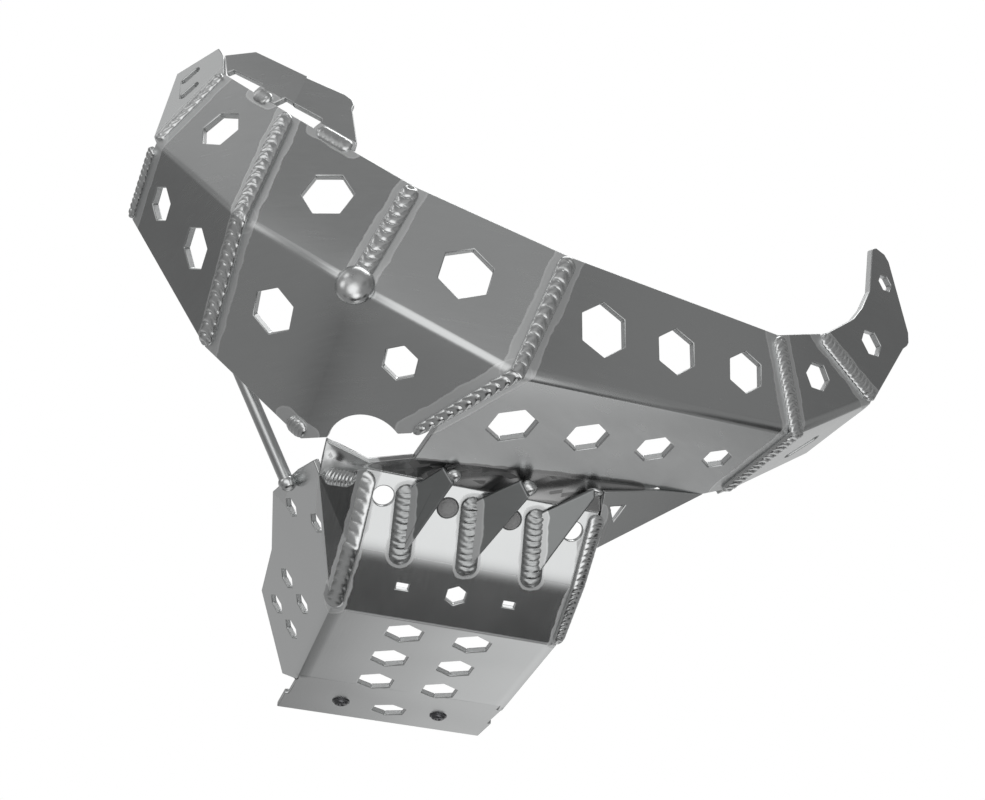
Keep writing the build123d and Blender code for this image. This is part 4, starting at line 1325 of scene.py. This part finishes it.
@dataclass
class RearScrews:
    """Two button-head screws through the rear lip."""

    node: str = "rear_screws"
    spacing: float = 78.0 * MM
    radius: float = 3.0 * MM
    seat: float = -4.0 * MM
    head_radius: float = 6.8 * MM
    head_height: float = 3.3 * MM
    flange_width: float = 1.1 * MM
    flange_height: float = 0.9 * MM
    flange_round: float = 0.2 * MM
    dome_steps: int = 8
    socket_radius: float = 2.3 * MM
    socket_depth: float = 2.0 * MM
    socket_rim: tuple = (0.3 * MM, 0.15 * MM)
    thread_start: float = 0.2 * MM
    thread_pitch: float = 1.0 * MM
    thread_depth: float = 0.32 * MM
    tip: float = 0.6 * MM
    segments: int = 36

    def __post_init__(self) -> None:
        """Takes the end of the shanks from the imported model."""
        self.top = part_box(self.node)[1].z

    def head(self) -> list[tuple[float, float]]:
        """Draws the head.

        Returns:
            Radius and height pairs from the socket's floor round the dome to the seat.
        """
        low = self.seat - self.head_height
        floor = low + self.socket_depth
        flange = self.seat - self.flange_height
        reach = self.socket_radius + self.socket_rim[0]
        width = self.head_radius - self.flange_width - reach
        profile = [(0.0, floor), (self.socket_radius, floor)]
        profile += [(self.socket_radius, low + self.socket_rim[1]), (reach, low)]
        for step in range(1, self.dome_steps + 1):
            angle = math.pi / 2 * step / self.dome_steps
            profile.append((reach + width * math.sin(angle), low + (flange - low) * (1 - math.cos(angle))))
        profile.append((self.head_radius - self.flange_round, flange))
        profile.append((self.head_radius, flange + self.flange_round))
        profile += [(self.head_radius, self.seat), (self.radius, self.seat)]
        return profile

    def screw_mesh(self, material: bpy.types.Material) -> bpy.types.Mesh:
        """Makes one screw on the Z axis: flanged button head, round socket and ringed shank.

        Args:
            material: Black oxide.

        Returns:
            The mesh.
        """
        profile = self.head()
        height = self.seat + self.thread_start
        while height + self.thread_pitch < self.top - self.tip:
            profile.append((self.radius, height))
            profile.append((self.radius - self.thread_depth, height + self.thread_pitch / 2))
            height += self.thread_pitch
        profile += [(self.radius, height), (self.radius - self.tip, self.top), (0.0, self.top)]
        lathe = Lathe(self.segments)
        lathe.turn(profile, Matrix.Identity(4))
        return lathe.finished("rear_screw_single", material)

    def pair_tree(self) -> Tree:
        """Makes the tree that sets a screw on every point.

        Returns:
            Helper around a tree with Geometry, Screw and Material in, and Geometry out.
        """
        inputs = {"Geometry": Socket.SHAPE, "Screw": Socket.OBJECT, "Material": Socket.MATERIAL}
        tree, given = new_group("screw_pair", "GeometryNodeTree", inputs, {"Geometry": Socket.SHAPE})
        screw = tree.add("GeometryNodeObjectInfo", {"Object": given["Screw"]}).outputs["Geometry"]
        sets = {"Points": given["Geometry"], "Instance": screw}
        pair = tree.add("GeometryNodeInstanceOnPoints", sets).outputs["Instances"]
        real = tree.add("GeometryNodeRealizeInstances", {"Geometry": pair}).outputs["Geometry"]
        coat = {"Geometry": real, "Material": given["Material"]}
        dressed = tree.add("GeometryNodeSetMaterial", coat).outputs["Geometry"]
        tree.add("NodeGroupOutput", {"Geometry": dressed})
        return tree

    def build(self, material: bpy.types.Material) -> bpy.types.Object:
        """Sets one screw on each of the two places, with Geometry Nodes.

        Args:
            material: Black oxide.

        Returns:
            The piece.
        """
        single = bpy.data.objects.new("rear_screw_pattern", self.screw_mesh(material))
        places = bpy.data.meshes.new("screw_places")
        places.from_pydata([(side * self.spacing / 2, 0, 0) for side in SIDES], [], [])
        mesh = grown(self.node, places, self.pair_tree(), {"Screw": single, "Material": material})
        bpy.data.objects.remove(single)
        return add_piece("rear_button_screws", mesh, self.node)


@dataclass
class FramePads:
    """Two rubber plugs in the middle holes of the ramp, in millimetres.

    The face is given from its middle to its rim, as a share of the plug's radius and a depth below its front.
    """

    tray: TrayLayout
    node: str = "frame_pads"
    clearance: float = 0.4
    proud: float = 0.5
    face: tuple = (
        (0.0, 0.25), (0.45, 0.2), (0.76, 0.0), (0.80, 0.5),
        (0.86, 0.5), (0.90, 0.0), (0.97, 0.05), (1.0, 0.4),
    )
    flange_radius: float = 10.0
    flange_thickness: float = 3.0
    flange_round: float = 0.5
    segments: int = 40

    def build(self, material: bpy.types.Material) -> bpy.types.Object:
        """Turns both plugs, with a groove round each face.

        Args:
            material: Rubber.

        Returns:
            The piece.
        """
        tray = self.tray
        radius = tray.pad_hole_radius - self.clearance
        top = tray.sheet + self.flange_thickness
        profile = [(share * radius, depth - self.proud) for share, depth in self.face]
        profile += [(radius, tray.sheet), (self.flange_radius, tray.sheet)]
        profile.append((self.flange_radius, top - self.flange_round))
        profile += [(self.flange_radius - self.flange_round, top), (0, top)]
        inward = tray.heading(-tray.upper_face).normalized()
        across = Vector((1, 0, 0))
        turn = Matrix((across, inward.cross(across), inward)).transposed().to_4x4()
        middle = tray.knee + tray.upper_climb * tray.pad_hole_up
        lathe = Lathe(self.segments)
        for side in SIDES:
            point = tray.across(side * tray.pad_hole_pitch / 2, middle)
            lathe.turn([(r * MM, h * MM) for r, h in profile], Matrix.Translation(tray.spot(point)) @ turn)
        return add_piece("frame_pad_plugs", lathe.finished("frame_pad_plugs", material), self.node)


@dataclass
class SkidPlate:
    """The whole part: its layouts, sheets, welds, screws and pads.

    A pair for the corners is left, then right. A roll is its reach and its depth.
    """

    frame: dict
    # Width of the painted shade on the shelf, as a share of its depth.
    shade_share: float = 0.42
    corner_lean: float = 0.35
    corner_halo: tuple = (8.8 * MM, 7.0 * MM)
    corner_halo_shift: tuple = (1.0 * MM, 0.0)
    oval_halo: float = 8.0 * MM
    tack_halo: float = 7.0 * MM
    sill_drop: float = 7.0
    sill_span: tuple = (0.08, 0.84)
    left_edge_from: float = 0.04
    wing_roll: tuple = (9.0 * MM, 1.0 * MM)
    shelf_roll: tuple = (34.0 * MM, -1.0 * MM)
    knee_roll: tuple = (10.0 * MM, 0.385 * MM)

    def __post_init__(self) -> None:
        """Works out the layouts and the seams that more than one piece uses."""
        self.tray = TrayLayout()
        self.guard = GuardLayout(self.tray)
        self.gussets = GussetLayout(self.tray)
        self.finishes = Finishes()
        guard = self.guard
        self.oval = replace(guard.lower_run(1, guard.oval_left, guard.oval_right), halo=self.oval_halo)
        tacks = [guard.flange_seam(0, guard.flange_tack), guard.flange_seam(1, guard.flange_run)]
        self.tacks = [replace(tack, halo=self.tack_halo) for tack in tacks]
        self.feet = [self.gussets.seam(index) for index in range(len(GUSSETS))]

    def corner_seams(self, side: int) -> list[Seam]:
        """Lays the seams along the edge between the ramp and one wing.

        Args:
            side: -1 for the left wing, 1 for the right.

        Returns:
            Upper and lower seam, both from the knee.
        """
        tray = self.tray
        x = side * tray.width / 2
        outward = (tray.lower_face + tray.upper_face) / 2 + Vector((self.corner_lean * side, 0, 0))
        knee = tray.across(x, tray.knee)
        upper = tray.seam(knee, tray.across(x, tray.crest), outward)
        lower = tray.seam(knee, Vector((x, 0, 0)), outward)
        return [upper, lower]

    def ramp_side(self, side: int) -> list[Seam]:
        """Moves the corner seams onto the ramp, where the heat frosted it.

        Args:
            side: -1 for the left wing, 1 for the right.

        Returns:
            Upper and lower seam.
        """
        which = SIDES.index(side)
        inward = Vector((-side * self.corner_halo_shift[which], 0.0, 0.0))
        seams = self.corner_seams(side)
        return [Seam(s.start + inward, s.end + inward, s.outward, self.corner_halo[which]) for s in seams]

    def sill_seam(self) -> Seam:
        """Lays the seam along the top of the left facet.

        Returns:
            The seam, below the round bite.
        """
        tray = self.tray
        run = tray.across(-tray.width / 2, tray.crest) - tray.fold
        down = -tray.upper_climb * self.sill_drop
        start, end = [tray.fold + run * share for share in self.sill_span]
        return tray.seam(start, end + down, tray.upper_face)

    def tray_folds(self) -> list[Fold]:
        """Lists the bends of the tray.

        Returns:
            The knee of the ramp, and the bottom's edge along each wing.
        """
        tray = self.tray
        folds = [Fold(tray.seam(*tray.both_edges(tray.knee), tray.lower_face), *self.knee_roll)]
        for side in SIDES:
            ends = [Vector((side * tray.width / 2, y, 0)) for y in (0, tray.bottom_length)]
            folds.append(Fold(tray.seam(*ends, Vector((side, 0, -1))), *self.wing_roll))
        return folds

    def shelf_middle(self) -> Seam:
        """Lays a line along the middle of the shelf, for its painted shade.

        Returns:
            The line, between the shelf's fold and the top of the ramp.
        """
        fold = self.guard.shelf_line()
        left, right = [self.tray.spot(point) for point in self.tray.both_edges(self.tray.crest)]
        band = self.shade_share * (fold.start - left).length
        return Seam((fold.start + left) / 2, (fold.end + right) / 2, fold.outward, band)

    def beads(self) -> list[Bead]:
        """Lists the weld beads.

        Returns:
            All beads, with the node that each stands for.
        """
        up, low = self.guard.upper_seams, self.guard.lower_seams
        left, right = [self.corner_seams(side) for side in SIDES]
        edge = replace(low[0], start=low[0].start + (low[0].end - low[0].start) * self.left_edge_from)
        beads = [
            Bead("weld_left_end", [up[0]], 4.6 * MM, ripple=0.8 * MM, lump=0.7 * MM, seed=3),
            Bead("weld_left_edge", [edge], 3.8 * MM, 4.6 * MM, lump=0.9 * MM, seed=13),
            Bead("weld_seam_left", [up[1], low[1]], seed=4),
            Bead("weld_seam_centre", [up[2]], ball=12.0 * MM, seed=5),
            Bead("weld_seam_right", [up[3], low[3]], taper=0.4, seed=6),
            Bead("weld_seam_tail", [up[4], low[4]], 5.6 * MM, 4.6 * MM, seed=7),
            Bead("weld_right_end", [up[5]], pitch=4.0 * MM, lump=1.0 * MM, seed=8),
            Bead("weld_corner_left", left, 7.6 * MM, 7.5 * MM, ripple=0.35 * MM, lump=0.3 * MM, seed=9),
            Bead("weld_corner_right", right, 6.2 * MM, 4.4 * MM, ripple=0.5 * MM, taper=0.3, seed=10),
            Bead("weld_oval", [self.oval], 6.0 * MM, 2.6 * MM, ripple=0.8 * MM, seed=14),
            Bead("weld_sill", [self.sill_seam()], 6.4 * MM, 3.0 * MM, seed=15),
        ]
        for word, seam in zip(("left", "right"), self.tacks):
            beads.append(Bead(f"weld_flange_{word}", [seam], 5.0 * MM, ripple=0.2 * MM, seed=11))
        for seed, (word, seam) in enumerate(zip(GUSSETS, self.feet), start=20):
            # Gusset beads sit in the recess under the guard and take the weld metal with painted shade.
            beads.append(Bead(
                f"weld_gusset_{word}", [seam], 7.4 * MM, 4.4 * MM, ripple=0.5 * MM, lump=1.4 * MM,
                inset=-6.0 * MM, seed=seed, shaded=True,
            ))
        return beads

    def sheets(self) -> list[Sheet]:
        """Lists the sheets.

        Returns:
            All sheets, with the seams that frost each and the folds that each has.
        """
        guard, tacks = self.guard, self.tacks
        up, low = guard.upper_seams, guard.lower_seams
        left_ramp, right_ramp = [self.ramp_side(side) for side in SIDES]
        ridges = [Fold(guard.ridge_line(number)) for number in range(len(guard.faces))]
        middle_fold = Fold(low[2])
        shelf_fold = Fold(guard.shelf_line(), *self.shelf_roll)
        sheets = [
            Sheet("skid_tray", Slot.TRAY, TRAY_METAL, left_ramp + right_ramp + self.feet, self.tray_folds()),
            Sheet("guard_left_panel", Slot.GUARD, GUARD_METAL,
                  [up[0], low[0], up[1], low[1], tacks[0]], ridges[:1]),
            Sheet("guard_centre_panel", Slot.GUARD, GUARD_METAL,
                  [up[1], low[1], up[2], up[3], low[3], tacks[1], self.oval], ridges[1:3] + [middle_fold]),
            # The shelf under the guard gets painted shade along its middle.
            Sheet("guard_right_panel", Slot.GUARD, GUARD_METAL,
                  [up[3], low[3], up[4], low[4], self.sill_seam()],
                  [ridges[3], shelf_fold], [self.shelf_middle()]),
            Sheet("guard_tail_panel", Slot.GUARD, GUARD_METAL, [up[4], low[4], up[5]], ridges[4:]),
            Sheet("left_end_plate", Slot.GUARD, GUARD_METAL, [up[0]]),
            Sheet("right_end_plate", Slot.GUARD, GUARD_METAL, [up[5]]),
            Sheet("top_flange", Slot.GUARD, GUARD_METAL, tacks),
            Sheet("right_support", Slot.TRAY, TRAY_METAL, right_ramp),
            Sheet("stay_rod", Slot.ROD, ROD_METAL, edge_round=0.3 * MM),
        ]
        for word, seam in zip(GUSSETS, self.feet):
            node = f"gusset_{word}"
            # Gussets take the darker aluminium with painted shade.
            sheets.append(Sheet(node, Slot.TRAY, SHADED_GUSSET_METAL, [seam], edge_round=1.5 * MM, edge_steps=4))
        return sheets

    def build(self) -> None:
        """Builds and dresses every piece."""
        for sheet in self.sheets():
            sheet.build(self.frame, self.finishes)
        tree = BeadTree()
        weld = self.finishes.metal("weld_metal", WELD_METAL)
        # The darker copy of the weld metal paints shade on the gusset beads.
        shaded = self.finishes.metal("smoked_weld", SHADED_WELD)
        for bead in self.beads():
            bead.build(tree, shaded if bead.shaded else weld)
        blobs = ["weld_rod_foot"] + [f"weld_tip_{word}" for word in GUSSETS]
        for seed, node in enumerate(blobs, start=1):
            Blob(node, seed).build(weld)
        RearScrews().build(self.finishes.dark("black_oxide", BLACK_OXIDE))
        FramePads(self.tray).build(self.finishes.dark("grey_rubber", GREY_RUBBER))


@dataclass
class Studio:
    """Floor, light and camera. The camera's place is in millimetres, its frame in the photograph's pixels."""

    camera_place: tuple = (-207.5, -1007.8, -321.1)
    camera_right: tuple = (0.9538, -0.2945, 0.0596)
    camera_up: tuple = (-0.1984, -0.4686, 0.8608)
    focal_pixels: float = 1341.7
    image_width: float = 985.0
    sensor: float = 36.0
    nearest: float = 10.0 * MM
    room: float = 0.26
    darkest: float = 0.01
    lamp_power: float = 7.0
    lamp_size: float = 1.0
    lamp_place: tuple = (0.25, -0.35, 1.5)
    lamp_aim: tuple = (0, -0.2, 0.1)
    floor_gap: float = 2.0 * MM
    floor_radius: float = 3.0
    floor_segments: int = 96
    floor_colour: Colour = (0.9, 0.9, 0.9)
    floor_fade: tuple = (0.35, 0.9)
    boxes: tuple = (
        Softbox(157, -58, 9, 23, 1.10),
        Softbox(95, -80, 13, 26, -0.25),
        Softbox(27, -23, 3, 21, 0.75),
        Softbox(40, 12, 8, 25, 0.42),
        Softbox(-66, 48, 6, 22, 0.42),
        Softbox(-97, 44, 6, 20, 0.10),
        Softbox(-26, -5, 8, 26, 0.20),
        Softbox(115, 22, 10, 25, -0.10),
        Softbox(150, 10, 4, 13, -0.10),
        Softbox(134, 15, 2, 9, 0.08),
        Softbox(-58, 12, 8, 22, -0.10),
        Softbox(176, 21, 8, 28, 0.12),
        Softbox(-166, -24, 12, 34, 0.95),
        Softbox(-140, 12, 5, 18, 0.25),
        Softbox(-125, 37, 3, 12, 1.00),
        Softbox(-114, 4, 6, 18, 0.90),
        Softbox(-90, -50, 3, 13, -0.16),
        Softbox(94, -30, 8, 14, -0.36),
        Softbox(112, -41, 3, 9, 0.12),
        Softbox(48, -55, 6, 15, 0.55),
        Softbox(-8, -20, 4, 10, -0.25),
        Softbox(26, -16, 3, 14, -0.26),
        Softbox(90, -60, 6, 13, -0.25),
    )

    def light(self) -> None:
        """Sets the world: a plain room with soft patches, and a white background for the camera."""
        world = bpy.data.worlds.new("studio")
        bpy.context.scene.world = world
        world.use_nodes = True
        world.node_tree.nodes.clear()
        tree = Tree(world.node_tree)
        way = tree.add("ShaderNodeTexCoord").outputs["Generated"]
        total: object = self.room
        for box in self.boxes:
            near = tree.vector("DOT_PRODUCT", way, box.direction()).outputs["Value"]
            low, high = math.cos(math.radians(box.reach)), math.cos(math.radians(box.core))
            total = tree.maths("ADD", total, tree.ramp(near, low, high, 0.0, box.strength))
        glow = tree.maths("MAXIMUM", total, self.darkest)
        room = tree.add("ShaderNodeBackground", {"Color": opaque(WHITE), "Strength": glow}).outputs[0]
        white = tree.add("ShaderNodeBackground", {"Color": opaque(WHITE), "Strength": 1.0}).outputs[0]
        seen = tree.add("ShaderNodeLightPath").outputs["Is Camera Ray"]
        mixed = tree.add("ShaderNodeMixShader", {0: seen, 1: room, 2: white}).outputs[0]
        tree.add("ShaderNodeOutputWorld", {"Surface": mixed})

    def lamp(self) -> None:
        """Hangs a soft lamp over the part."""
        lamp = bpy.data.lights.new("top_light", "AREA")
        lamp.energy = self.lamp_power
        lamp.size = self.lamp_size
        top = bpy.data.objects.new("top_light", lamp)
        top.location = self.lamp_place
        aim = Vector(self.lamp_aim) - top.location
        top.rotation_mode = "QUATERNION"
        top.rotation_quaternion = aim.to_track_quat("-Z", "Y")
        bpy.context.scene.collection.objects.link(top)

    def floor_material(self) -> bpy.types.Material:
        """Makes the floor's material, which is clear far out and from below.

        Returns:
            The material.
        """
        material = bpy.data.materials.new("pale_floor")
        material.use_nodes = True
        tree = Tree(material.node_tree)
        nodes = material.node_tree.nodes
        nodes.remove(nodes["Principled BSDF"])
        matt = tree.add("ShaderNodeBsdfDiffuse", {"Color": opaque(self.floor_colour)}).outputs[0]
        clear = tree.add("ShaderNodeBsdfTransparent").outputs[0]
        away = tree.vector("LENGTH", tree.place()).outputs["Value"]
        behind = tree.add("ShaderNodeNewGeometry").outputs["Backfacing"]
        share = tree.maths("MAXIMUM", tree.ramp(away, *self.floor_fade), behind)
        mixed = tree.add("ShaderNodeMixShader", {0: share, 1: matt, 2: clear}).outputs[0]
        tree.plug(nodes["Material Output"].inputs["Surface"], mixed)
        return material

    def floor(self, lowest: float) -> None:
        """Lays a pale floor that fades into the background and lets the camera look up through it.

        Args:
            lowest: Lowest point of the part.
        """
        shape = bmesh.new()
        bmesh.ops.create_circle(
            shape, cap_ends=True, radius=self.floor_radius, segments=self.floor_segments
        )
        mesh = poured(shape, bpy.data.meshes.new("studio_floor"))
        mesh.materials.append(self.floor_material())
        floor = bpy.data.objects.new("studio_floor", mesh)
        floor.location = (0, 0, lowest - self.floor_gap)
        bpy.context.scene.collection.objects.link(floor)
        floor.visible_glossy = False
        floor.visible_diffuse = False
        floor.visible_shadow = False
        floor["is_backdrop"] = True

    def camera(self) -> None:
        """Places the camera where the photograph was taken from."""
        right = Vector(self.camera_right).normalized()
        up = Vector(self.camera_up)
        back = right.cross(up).normalized()
        up = back.cross(right).normalized()
        data = bpy.data.cameras.new("photo_camera")
        data.sensor_width = self.sensor
        data.lens = self.focal_pixels / self.image_width * self.sensor
        data.clip_start = self.nearest
        camera = bpy.data.objects.new("photo_camera", data)
        turn = Matrix((right, up, back)).transposed().to_4x4()
        camera.matrix_world = Matrix.Translation(Vector(self.camera_place) * MM) @ turn
        bpy.context.scene.collection.objects.link(camera)
        bpy.context.scene.camera = camera


def clear_scene() -> None:
    """Removes what a new file holds."""
    for thing in list(bpy.data.objects):
        bpy.data.objects.remove(thing)


def main() -> None:
    logging.basicConfig(level=logging.INFO, format="%(name)s %(message)s")
    clear_scene()
    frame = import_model()
    cad_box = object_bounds()
    bpy.context.scene.view_settings.view_transform = "Standard"
    SkidPlate(frame).build()
    studio = Studio()
    studio.light()
    studio.lamp()
    studio.floor(cad_box[0].z)
    studio.camera()
    bpy.context.view_layer.update()


if __name__ == "__main__":
    main()
